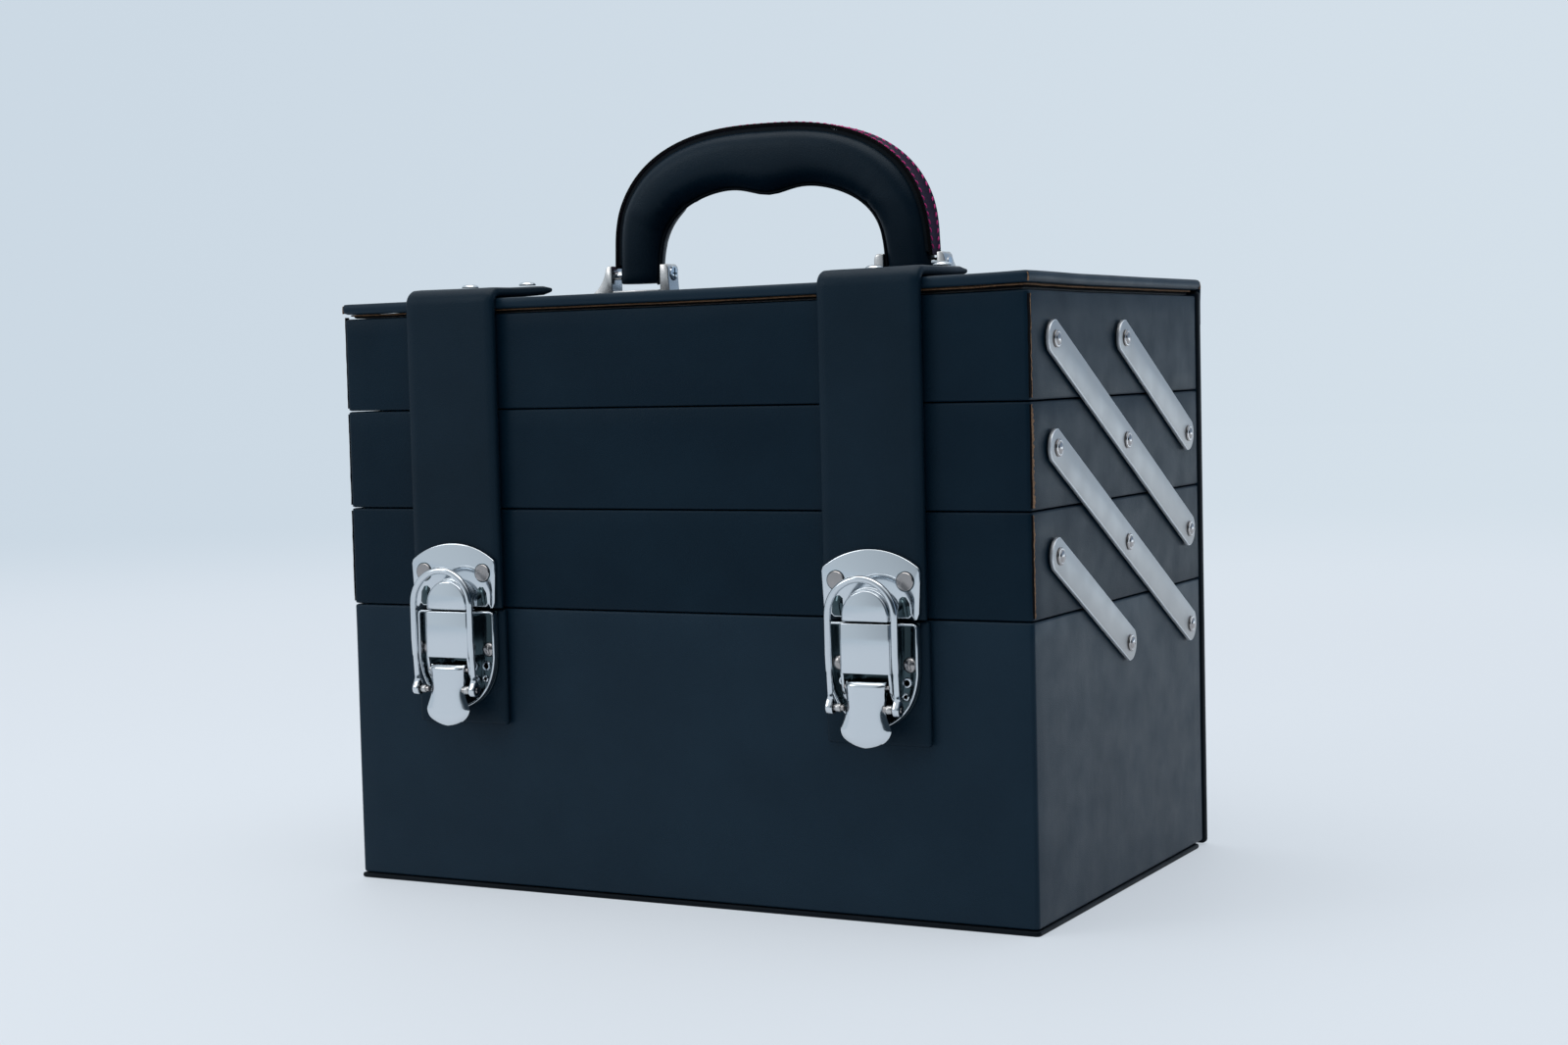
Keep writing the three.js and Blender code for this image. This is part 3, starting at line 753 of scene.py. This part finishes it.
def build_catch(side):
    cad = f"catch_plate_{side}"
    low, high, x, half = placed(cad)
    back, face = high[1], high[1] - 1.6
    shoulder = high[2] - 7.2
    right = [(0, low[2] + 0.6), (15.2, low[2] + 0.6), (16.3, low[2] + 1.7), (17.3, low[2]),
             (18.3, low[2] + 0.1), (19.2, low[2] + 2.4), (half, shoulder - 1.0), (half - 0.5, shoulder + 0.5)]
    rise = high[2] - shoulder - 0.5
    reach = half - 0.5
    radius = (reach ** 2 + rise ** 2) / (2 * rise)
    swing = math.degrees(math.asin(reach / radius))
    top = arc((0, high[2] - radius), radius, 90 - swing, 90, 14)[1:]
    plate = [(x + px, z) for px, z in mirrored(right + top)]
    parts = [prism("plate", plate, "Y", face, back, NICKEL, 0.7, 4)]
    bottom = low[2] - 0.45
    spring = low[2] + 1.6
    for radius, front, bevel in ((10.4, face - 2.2, 0.35), (10.0, face - 3.9, 0.35), (9.5, low[1], 0.8)):
        nose = nose_outline(x, radius, bottom, spring)
        parts.append(prism("nose", nose, "Y", front, face + 0.4, NICKEL, bevel, 4))
    for sign in (-1, 1):
        # The pockets are thin dark plates: painted shade in the stamped hollows beside the nose.
        pocket = [(10.9, low[2] + 0.9), (15.0, low[2] + 1.1), (16.0, low[2] + 2.2), (15.6, low[2] + 6.2),
                  (14.2, low[2] + 8.4), (12.6, low[2] + 8.6), (11.4, low[2] + 7.6)]
        pocket = [(x + sign * px, z) for px, z in pocket]
        parts.append(prism("pocket", pocket, "Y", face - 0.07, face + 0.3, SHADE_NICKEL, 0.05, 1))
        parts += flat_rivet((x + sign * 14, face, shoulder - 4.4), 3.35, 0.65)
    dressed(joined(f"nickel_{cad}", parts), "straps", "nickel", cad)


COVER_HALF, COVER_BOTTOM = 10.3, 94.4
LEVER_AXIS_Z = 89.6
CROSS_PIN_Z = 82


def tray_rim(x, line, back, depth, thick):
    """The upright rim of the latch's pan, along a line of (x, z) points."""
    section = ((-0.5, 0), (-0.5, 0.85), (-0.35, 0.97), (-0.1, 1), (0.2, 0.99), (0.42, 0.9), (0.5, 0.75),
               (0.5, 0))
    rings = []
    for i, (px, z) in enumerate(line):
        along = way_at(line, i)
        rings.append([(x + px + along.y * a * thick, back - b * depth, z - along.x * a * thick)
                      for a, b in section])
    return skin("rim", rings, [NICKEL], soft=50)


def build_latch_base(side):
    cad = f"latch_base_{side}"
    low, high, x, half = placed(cad)
    back, front, tip, top = high[1], low[1], low[2] - 1.2, high[2]
    curve = bow((3.5, tip), (half * 0.93, tip + 4.2), (half, tip + 20), 16)
    outline = mirrored([(0, tip)] + curve + [(half, top)])
    # The pan behind the lever is dark nickel: painted shade and dark reflection on its recessed face.
    parts = [prism("pan", [(x + px, z) for px, z in outline], "Y", back - 0.5, back, SHADE_NICKEL, 0.15, 2)]
    edge = [(8.5, top - 0.5), (half - 1.8, top - 0.5), (half - 0.75, top - 0.9), (half - 0.5, top - 2)]
    edge += [(px - 0.5, z + 0.4) for px, z in reversed(curve)]
    for sign in (-1, 1):
        line = [(sign * px, z) for px, z in edge]
        parts.append(tray_rim(x, line if sign > 0 else line[::-1], back, 3.3, 1.05))
    wide, turn = COVER_HALF, 1.0
    cover = [(-wide + 0.5, back - 0.3), (wide - 0.5, back - 0.3), (wide - 0.5, front + 2.2),
             (wide, front + 2.0)]
    cover += arc((wide - turn, front + turn), turn, 0, -90, 6)
    cover += arc((-wide + turn, front + turn), turn, -90, -180, 6)
    cover += [(-wide, front + 2.0), (-wide + 0.5, front + 2.2)]
    cover = [(x + px, y) for px, y in cover]
    parts.append(prism("cover", cover, "Z", COVER_BOTTOM, top + 0.15, NICKEL, 0.3, 3))
    under = [(x - 8.9, COVER_BOTTOM - 0.04), (x + 8.9, COVER_BOTTOM - 0.04), (x + 8.9, COVER_BOTTOM + 0.6),
             (x - 8.9, COVER_BOTTOM + 0.6)]
    parts.append(prism("shadow", under, "Y", front + 0.6, back - 1, SHADE_NICKEL))
    dome = [(0, 0), (2.9, 0), (2.95, 0.6), (2.5, 1.4), (1.4, 1.95), (0, 2.15)]
    wide_ring = [(1.0, 0), (1.9, 0), (2.0, 0.5), (1.7, 0.9), (1.2, 0.9), (1.0, 0.5), (1.0, 0)]
    small_ring = [(0.7, 0), (1.35, 0), (1.4, 0.4), (1.0, 0.6), (0.7, 0.4), (0.7, 0)]
    for sign in (-1, 1):
        ear = [(front + 0.25, COVER_BOTTOM + 0.6), (back - 0.4, COVER_BOTTOM + 0.6), (back - 0.4, 82.4),
               (back - 1.6, 81), (front + 3.6, 84.6), (front + 1.3, 88)]
        inner, outer = sorted((x + sign * 9.0, x + sign * 10.2))
        parts.append(prism("ear", ear, "X", inner, outer, NICKEL, 0.25, 2))
        for profile, out, z, look, sides in ((dome, 14.3, 97.2, RIVET_STEEL, 32),
                                             (wide_ring, 12.9, 90.6, NICKEL, 20),
                                             (small_ring, 12.0, 85.4, NICKEL, 16)):
            parts.append(turned("stamping", profile, (x + sign * out, back - 0.5, z), FORWARD, look, sides))
    pin = [(0, 0), (0.95, 0), (0.95, 18.4), (0, 18.4)]
    parts.append(turned("pin", pin, (x - 9.2, lever_axis_y(side), LEVER_AXIS_Z), (1, 0, 0), RIVET_STEEL, 16))
    dressed(joined(f"nickel_{cad}", parts), "base", "nickel", cad)


def lever_face_y(side):
    """The blade's face: the cross pin's front stands 0.7 mm before it."""
    return span(f"latch_lever_{side}")[0][1] + 0.7


def cross_pin_y(side):
    return lever_face_y(side) + 0.5


def lever_axis_y(side):
    """The lever turns 3.2 mm behind its own face."""
    return lever_face_y(side) + 3.2


def lever_half(t):
    """Half the lever's width from its top, t 0: a waist, a flare to corners, then the round tip, t 1."""
    if t < 0.72:
        return 8.1 - 0.5 * math.sin(math.pi * min(t / 0.62, 1.0)) + 2.1 * max(0.0, (t - 0.3) / 0.42) ** 2.2
    return max(10.2 * math.sqrt(max(0.0, 1 - ((t - 0.72) / 0.28) ** 2)), 0.3)


def build_lever(side):
    """The thumb lever: a waisted blade with rolled sides and top, two cheeks behind it, and its cross pin."""
    cad = f"latch_lever_{side}"
    low, high, x, reach = placed(cad)
    top, bottom, front = high[2], low[2], lever_face_y(side)
    rows, columns = 44, 16
    across = [-1 + 2 * k / columns for k in range(columns + 1)]
    rings = []
    for i in range(rows + 1):
        t = 0.5 - 0.5 * math.cos(math.pi * i / rows)
        z = top + (bottom - top) * t
        half = lever_half(t)
        lean = 1.3 * max(0.0, 1 - t / 0.07) ** 2
        curl = 0.6 * max(0.0, (t - 0.82) / 0.18) ** 2
        ring = []
        for u in across:
            roll = 1.35 * abs(u) ** 7 * (1 - 0.6 * max(0.0, t - 0.7) / 0.3) + 0.18 * u * u
            ring.append((x + half * u, front + lean + curl + roll, z))
        ring += [(x + half * u * 0.96, front + 1.8 + lean * 0.2, z) for u in reversed(across)]
        rings.append(ring)
    parts = [skin("blade", rings, [NICKEL], soft=45)]
    axis = lever_axis_y(side)
    for sign in (-1, 1):
        cheek = [(front + 1.4, top - 0.6), (axis + 1.2, top - 0.3), (axis + 2.0, LEVER_AXIS_Z - 0.6),
                 (axis + 0.4, 84.6), (front + 1.4, 79.5)]
        inner, outer = sorted((x + sign * 6.5, x + sign * 7.5))
        parts.append(prism("cheek", cheek, "X", inner, outer, NICKEL, 0.2, 2))
    barrel = [(0, 0), (1.95, 0), (1.95, 15.6), (0, 15.6)]
    parts.append(turned("barrel", barrel, (x - 7.8, axis, LEVER_AXIS_Z), (1, 0, 0), NICKEL, 20))
    stub = [(0, 0), (1.2, 0), (1.2, reach - 8.3), (0.9, reach - 8), (0, reach - 8)]
    roller = [(0, 0), (1.55, 0), (1.6, 0.2), (1.6, 1.8), (1.5, 2.0), (0, 2.0)]
    for sign in (-1, 1):
        for name, profile, out, look in (("cross", stub, 8, RIVET_STEEL), ("roller", roller, 9.3, PLATED)):
            at = (x + sign * out, cross_pin_y(side), CROSS_PIN_Z)
            parts.append(turned(name, profile, at, (sign, 0, 0), look, 20))
    dressed(joined(f"nickel_{cad}", parts), f"lever_{side}", "nickel", cad)


def wire(path, radii, look, sides=16):
    """A round wire along a path, with its own radius at each point."""
    rings = []
    for i, (point, radius) in enumerate(zip(path, radii)):
        along = way_at(path, i)
        across = along.cross(Vector((0, -1, 0))).normalized()
        front = across.cross(along).normalized()
        turns = [2 * math.pi * k / sides for k in range(sides)]
        rings.append([Vector(point) + radius * (across * math.cos(a) + front * math.sin(a)) for a in turns])
    return skin("wire", rings, [look])


LOOP_STEP_Z = 95.4
LOOP_WIRE = 1.34
LOOP_PULL = 1.35       # how far the wire's middle lies inside the loop's box


def build_loop(side):
    """The wire loop: a round bow over the nose, legs that step down in size, and eyes on the cross pin."""
    cad = f"latch_loop_{side}"
    low, high, x, half = placed(cad)
    reach = half - LOOP_PULL
    spring = high[2] - LOOP_PULL - reach
    y = low[1] + LOOP_PULL
    pin_y = cross_pin_y(side)

    def lean(z):
        return pin_y + (y - pin_y) * min(1, (z - CROSS_PIN_Z) / 20)

    leg = [84.4, 85.4, 86.4, 89, 92, LOOP_STEP_Z - 0.25, LOOP_STEP_Z + 0.25, 98, 102, 106, 110]
    leg_radii = [1.05, 1.45, 1.12, 1.12, 1.12, 1.14] + [LOOP_WIRE] * 5
    outline = [(reach, z) for z in leg] + arc((0, spring), reach, 0, 180, 32)
    outline += [(-reach, z) for z in reversed(leg)]
    radii = leg_radii + [LOOP_WIRE] * 33 + leg_radii[::-1]
    parts = [wire([(x + px, lean(z), z) for px, z in outline], radii, NICKEL)]
    for sign in (-1, 1):
        eye = x + sign * reach
        plate = [(pin_y + a, z) for a, z in arc((0, CROSS_PIN_Z), 2.65, 150, 390, 20)]
        plate += [(pin_y + a, z) for a, z in ((1.2, 85.2), (0.9, 86), (-0.9, 86), (-1.2, 85.2))]
        parts.append(prism("eye", plate, "X", eye - 1.3, eye + 1.3, NICKEL, 0.45, 3))
        for face in (-1, 1):
            # Dark discs on both faces of the eye: painted shade in the pin's hole.
            hole = [(0, 0), (1.75, 0), (1.6, 0.08), (0, 0.08)]
            at = (eye + face * 1.3, pin_y, CROSS_PIN_Z)
            parts.append(turned("hole", hole, at, (face, 0, 0), SHADE_NICKEL, 20))
    dressed(joined(f"wire_{cad}", parts), f"loop_{side}", "nickel", cad)


# ---- handle
ARCH_Z = 250
ARCH_POWER = 2.55
PAD_HALF, PAD_TOP = 71.5, 304.0
INNER_HALF, INNER_TOP = 52.2, 281.6
LEG_BOTTOM = 242.7
PIVOT_Z = 246.5


def arch_point(turn, half, top, bump=0.0):
    """A point of the handle's outline in (x, z); turn runs from the right leg, 0, to the left leg, 1."""
    a = math.pi * turn
    x = half * abs(math.cos(a)) ** (2 / ARCH_POWER) * math.copysign(1, math.cos(a))
    dip = bump * math.exp(-((x / 12) ** 2))
    return splayed(x, ARCH_Z + (top - ARCH_Z) * abs(math.sin(a)) ** (2 / ARCH_POWER) - dip)


def splayed(x, z):
    """A point in (x, z), with the feet of the handle leaning out a little."""
    return Vector((x + math.copysign(1.1 * (max(0.0, 258 - z) / 15) ** 1.4, x), z))


def pad_lines(count=88):
    """Pairs of outer and inner outline points down both legs and over the arch."""
    turns = [0.5 - 0.5 * math.cos(math.pi * i / count) for i in range(count + 1)]
    arch = [(arch_point(t, PAD_HALF, PAD_TOP), arch_point(t, INNER_HALF, INNER_TOP, 4.0)) for t in turns]
    right = [(splayed(PAD_HALF - pull, LEG_BOTTOM + up), splayed(INNER_HALF + pull, LEG_BOTTOM + up))
             for up, pull in ((0, 0.9), (0.12, 0.45), (0.5, 0.12), (1.1, 0), (2.6, 0), (4.2, 0))]
    left = [(Vector((-a.x, a.y)), Vector((-b.x, b.y))) for a, b in reversed(right)]
    return right + arch + left


def leg_depth(z, full=9.9, leg=6.1, reach=272.0):
    """Half the handle's depth at height z: round below the screw, widening to full above it."""
    if z < PIVOT_Z:
        return math.sqrt(max(leg ** 2 - (PIVOT_Z - z) ** 2, 0.2))
    return min(full, leg + (full - leg) * (z - PIVOT_Z) / (reach - PIVOT_Z))


def build_pad():
    """The stuffed grip: flat under the band, full and round below, with creases inside the bends."""
    rings = []
    sides = 40
    for outer, inner in pad_lines():
        center = (outer + inner) / 2
        radial = (outer - inner) / 2
        half = radial.length
        radial.normalize()
        ring = []
        for k in range(sides):
            a = 2 * math.pi * k / sides
            c, s = math.cos(a), math.sin(a)
            power = 3.1 if c > 0 else 2.25
            up = half * abs(c) ** (2 / power) * math.copysign(1, c)
            spot = center + radial * up
            depth = leg_depth(max(spot.y, LEG_BOTTOM + 0.3))
            out = depth * abs(s) ** (2 / 2.3) * math.copysign(1, s)
            bend = math.exp(-((abs(center.x) - 50) / 12) ** 2) * math.exp(-((center.y - 282) / 16) ** 2)
            crease = bend * max(0.0, wobble((center.x, out * 0.25, center.y), 3.2, 11.0)) * max(0.0, 0.35 - c)
            soft = 0.25 * (0.5 + 0.5 * wobble((spot.x, out, spot.y), 14, 2.0))
            shrink = 1 - (0.9 * crease + soft) / half
            spot = center + radial * up * shrink
            ring.append((spot.x, out * shrink, spot.y))
        rings.append(ring)
    piece = skin("stuffed_handle", rings, [PAD_LEATHER], soft=70)
    dressed(piece, "handle", "leather", "handle_pad")


def band_line(count=150, lift=0.2):
    """The band's middle line in (x, z), evenly spaced from its right end to its left, and its length."""
    turns = [0.5 - 0.5 * math.cos(math.pi * i / 600) for i in range(601)]
    raw = [arch_point(t, PAD_HALF + lift, PAD_TOP + lift) for t in turns]
    raw = [raw[0] - Vector((0, 0.7))] + raw + [raw[-1] - Vector((0, 0.7))]
    lengths = np.cumsum([0] + [(b - a).length for a, b in zip(raw, raw[1:])])
    spots = np.linspace(0, lengths[-1], count + 1)
    xs = np.interp(spots, lengths, [p.x for p in raw])
    zs = np.interp(spots, lengths, [p.y for p in raw])
    return [Vector((a, b)) for a, b in zip(xs, zs)], lengths[-1]


def band_frame(line, i):
    along = way_at(line, i)
    return along, Vector((along.y, -along.x))


def band_half(z):
    return leg_depth(z, 6.3, 4.2)


def along_band(sections):
    """Rings along the band from (across, up) points, given for half the band's width there."""
    line, _ = band_line()
    rings = []
    for i, point in enumerate(line):
        _, out = band_frame(line, i)
        section = sections(band_half(point.y))
        rings.append([(point.x + out.x * up, y, point.y + out.y * up) for y, up in section])
    return rings


def build_band():
    def face(half):
        return [(-half, 0.1), (-half, 1.2), (0.4 - half, 1.55), (1.0 - half, 1.4), (0, 1.25),
                (half - 1.0, 1.4), (half - 0.4, 1.55), (half, 1.2), (half, 0.1),
                (half * 0.5, 0), (0, 0), (-half * 0.5, 0)]

    def flange(half):
        return [(0.5 - half, -3.2), (0.5 - half, -0.05), (half - 0.5, -0.05), (half - 0.5, -3.2)]

    looks = [BAND_LEATHER, EDGE_PAINT_AND_SHADE]
    band = skin("stitched_band", along_band(face), looks, lambda r, i: 1 if i in (0, 1, 6, 7) else 0, 45)
    dressed(band, "handle", "strap_leather", "handle_band")
    core = skin("band_flange", along_band(flange)[1:-1], [DARK_AND_SHADED_LEATHER], soft=45)
    dressed(core, "handle", "leather")


STITCH_PITCH = 3.2


def build_stitches():
    """Two rows of thick magenta thread along the band, each stitch slanted and sunk at its ends."""
    _, length = band_line(2)
    line, _ = band_line(int(length / STITCH_PITCH))
    sides = [2 * math.pi * a / 8 for a in range(8)]
    stitches = []
    for i in range(1, len(line) - 1):
        along, out = band_frame(line, i)
        for row in (-1, 1):
            across = row * (band_half(line[i].y) - 1.75)
            rings = []
            for k in range(7):
                t = -1 + k / 3
                thick = 0.46 * math.sqrt(max(0.12, 1 - t ** 4))
                spot = line[i] + along * (t * 1.35) + out * (0.86 + 0.5 * (1 - t * t))
                ring = []
                for turn in sides:
                    up = thick * math.sin(turn)
                    y = across + 0.7 * t * row + thick * math.cos(turn)
                    ring.append((spot.x + out.x * up, y, spot.y + out.y * up))
                rings.append(ring)
            stitches.append(skin("stitch", rings, [THREAD], soft=70))
    dressed(joined("band_stitches", stitches), "handle", "strap_leather")


def build_inner_seam():
    """The thin piped seam along the inside of the grip."""
    line = [inner for _, inner in pad_lines(120)]
    rings = []
    for i, spot in enumerate(line):
        _, out = band_frame(line, i)
        rings.append([(spot.x - out.x * (a + 0.15), -2.2 + b, spot.y - out.y * (a + 0.15))
                      for a, b in arc((0, 0), (0.75, 1.0), 0, 330, 11)])
    dressed(skin("grip_seam", rings, [DARK_AND_SHADED_LEATHER]), "handle", "leather")


def build_bracket(side):
    cad = f"handle_bracket_{side}"
    sign = SIDES[side]
    _, _, (z, top) = box_spans(cad)
    half = 4.3
    parts = []

    def ear(inner, outer, ramp):
        """One ear with its sloping foot, outline in (x, z)."""
        way = math.copysign(1, ramp)
        face = [(inner, z), (outer + ramp, z), (outer + ramp, z + 0.7)]
        face += bow(face[-1], (outer + ramp * 0.3, z + 3.4), (outer + way * 0.2, top - 2.4), 10)[1:]
        face += [(outer - way * 0.1, top - 1.1), (outer - way, top), (inner, top)]
        return [(sign * px, pz) for px, pz in face]

    for inner, outer, ramp in ((75.5, 78.6, 6.2), (52.1, 48.0, -0.6)):
        parts.append(prism("ear", ear(inner, outer, ramp), "Y", -half, half, PLATED, 0.45, 3))
    x = sorted((sign * 52.5, sign * 75.2))
    foot = [(x[0], z), (x[1], z), (x[1], z + 1.2), (x[0], z + 1.2)]
    parts.append(prism("foot", foot, "Y", -half, half, PLATED, 0.15, 2))
    dressed(joined(f"nickel_{cad}", parts), "lid", "nickel", cad)


def build_screw(side):
    cad = f"handle_screw_{side}"
    sign = SIDES[side]
    low, high = span(cad)
    inner = low[0] if sign > 0 else high[0]
    length = high[0] - low[0]
    shank = [(0, 1.0), (1.85, 1.0), (1.85, length), (1.4, length), (0, length)]
    head = [(0, 0.1), (2.3, 0.1), (2.9, 0.35), (3.1, 0.8), (3.1, 1.4), (0, 1.4)]
    parts = [turned("turned", profile, (inner, 0, PIVOT_Z), (sign, 0, 0), NICKEL, sides)
             for profile, sides in ((shank, 24), (head, 28))]
    slot_low, slot_high = sorted((inner - sign * 0.02, inner + sign * 0.35))
    # The cross slot is dark nickel: painted shade in its recess.
    for y, z, lift in ((0.35, 2.3, 0.02), (1.7, 0.35, 0.03)):
        slot = [(-y, PIVOT_Z - z), (y, PIVOT_Z - z), (y, PIVOT_Z + z), (-y, PIVOT_Z + z)]
        parts.append(prism("slot", slot, "X", slot_low + lift, slot_high, SHADE_NICKEL))
    dressed(joined(f"nickel_{cad}", parts), "handle", "nickel", cad)


# ---- build
build_boards()
lid_edge()
lid_corner_folds()
lid_spine()
build_links()
build_rivets()
for each_side in SIDES:
    build_strap(each_side)
    build_patch(each_side)
    build_tab_rivets(each_side)
    build_catch(each_side)
    build_latch_base(each_side)
    build_lever(each_side)
    build_loop(each_side)
    build_bracket(each_side)
    build_screw(each_side)
build_pad()
build_inner_seam()
build_band()
build_stitches()


# ---- stage and light
BACKDROP_LEFT = (0.6, 0.69, 0.775)
BACKDROP_RIGHT = (0.66, 0.745, 0.82)
FLOOR_NEAR = (0.72, 0.75, 0.78)
FLOOR_GLOW = (0.72, 0.785, 0.86)


def ease(tree, value, start, end):
    inputs = {"Value": value, "From Min": start, "From Max": end}
    return node(tree, "ShaderNodeMapRange", inputs, interpolation_type="SMOOTHSTEP").outputs["Result"]


def backdrop(tree, heading):
    """The paper's colour towards a heading: a little brighter to the right."""
    return mixed(tree, ease(tree, heading.outputs["X"], -0.8, -0.1), BACKDROP_LEFT, BACKDROP_RIGHT)


def build_floor():
    """A pale floor disc that fades into the backdrop's own colour away from the box."""
    sides, radius = 96, 6000
    points = [(0, 0, 0)] + [(a, b, 0) for a, b in arc((0, 0), radius, 0, 360 - 360 / sides, sides - 1)]
    faces = [(0, 1 + i, 1 + (i + 1) % sides) for i in range(sides)]
    material, tree, surface = principled("floor", FLOOR_NEAR, 0.6)
    place = place_of(tree)
    reach = node(tree, "ShaderNodeVectorMath", {0: place}, operation="LENGTH").outputs["Value"]
    unit = node(tree, "ShaderNodeVectorMath", {0: place}, operation="NORMALIZE").outputs["Vector"]
    heading = node(tree, "ShaderNodeSeparateXYZ", {"Vector": unit})
    far = ease(tree, reach, 0.7, 2.6)
    tint = mixed(tree, far, FLOOR_GLOW, backdrop(tree, heading))
    glow = node(tree, "ShaderNodeEmission", {"Color": tint})
    fade = scaled(tree, ease(tree, reach, 0.3, 1.5), 0.55, 1.0)
    blend = node(tree, "ShaderNodeMixShader", {0: fade, 1: surface.outputs[0], 2: glow.outputs[0]})
    tree.links.new(blend.outputs[0], tree.nodes["Material Output"].inputs["Surface"])
    new_piece("floor", points, faces, [material])


def build_world():
    """A pale backdrop behind, a bright ceiling, and a dimmer room in front, darkest to the right."""
    world = bpy.data.worlds.new("studio")
    bpy.context.scene.world = world
    world.use_nodes = True
    tree = world.node_tree
    direction = node(tree, "ShaderNodeTexCoord").outputs["Generated"]
    heading = node(tree, "ShaderNodeSeparateXYZ", {"Vector": direction})
    x, y, z = heading.outputs
    room = mixed(tree, ease(tree, x, -0.7, 0.35), (0.66, 0.735, 0.8), (0.03, 0.045, 0.06))
    paper = mixed(tree, ease(tree, x, -0.05, 0.3), backdrop(tree, heading), (0.34, 0.47, 0.64))
    around = mixed(tree, ease(tree, y, -0.2, 0.3), room, paper)
    sky = mixed(tree, ease(tree, z, 0.35, 0.85), around, (0.8, 0.85, 0.9))
    tree.links.new(sky, tree.nodes["Background"].inputs["Color"])


def softbox(name, at, target, size, power, color=(1, 1, 1)):
    data = bpy.data.lights.new(name, "AREA")
    data.shape = "RECTANGLE"
    data.size, data.size_y = size
    data.energy = power
    data.color = color
    lamp = shown(name, data)
    lamp.location = at
    lamp.rotation_euler = (Vector(target) - Vector(at)).to_track_quat("-Z", "Y").to_euler()


build_floor()
build_world()
softbox("overhead", (-0.1, -0.2, 1.8), (0, 0, 0.15), (1.8, 1.4), 14, (1.0, 0.98, 0.96))
softbox("right_rear", (1.0, 1.15, 0.1), (0.15, 0, 0.04), (1.2, 0.18), 1.3, (0.8, 0.92, 1.0))
softbox("front_left", (-1.3, -1.5, 1.1), (0, 0, 0.15), (0.6, 0.8), 5)

bpy.context.scene.view_settings.view_transform = "Standard"
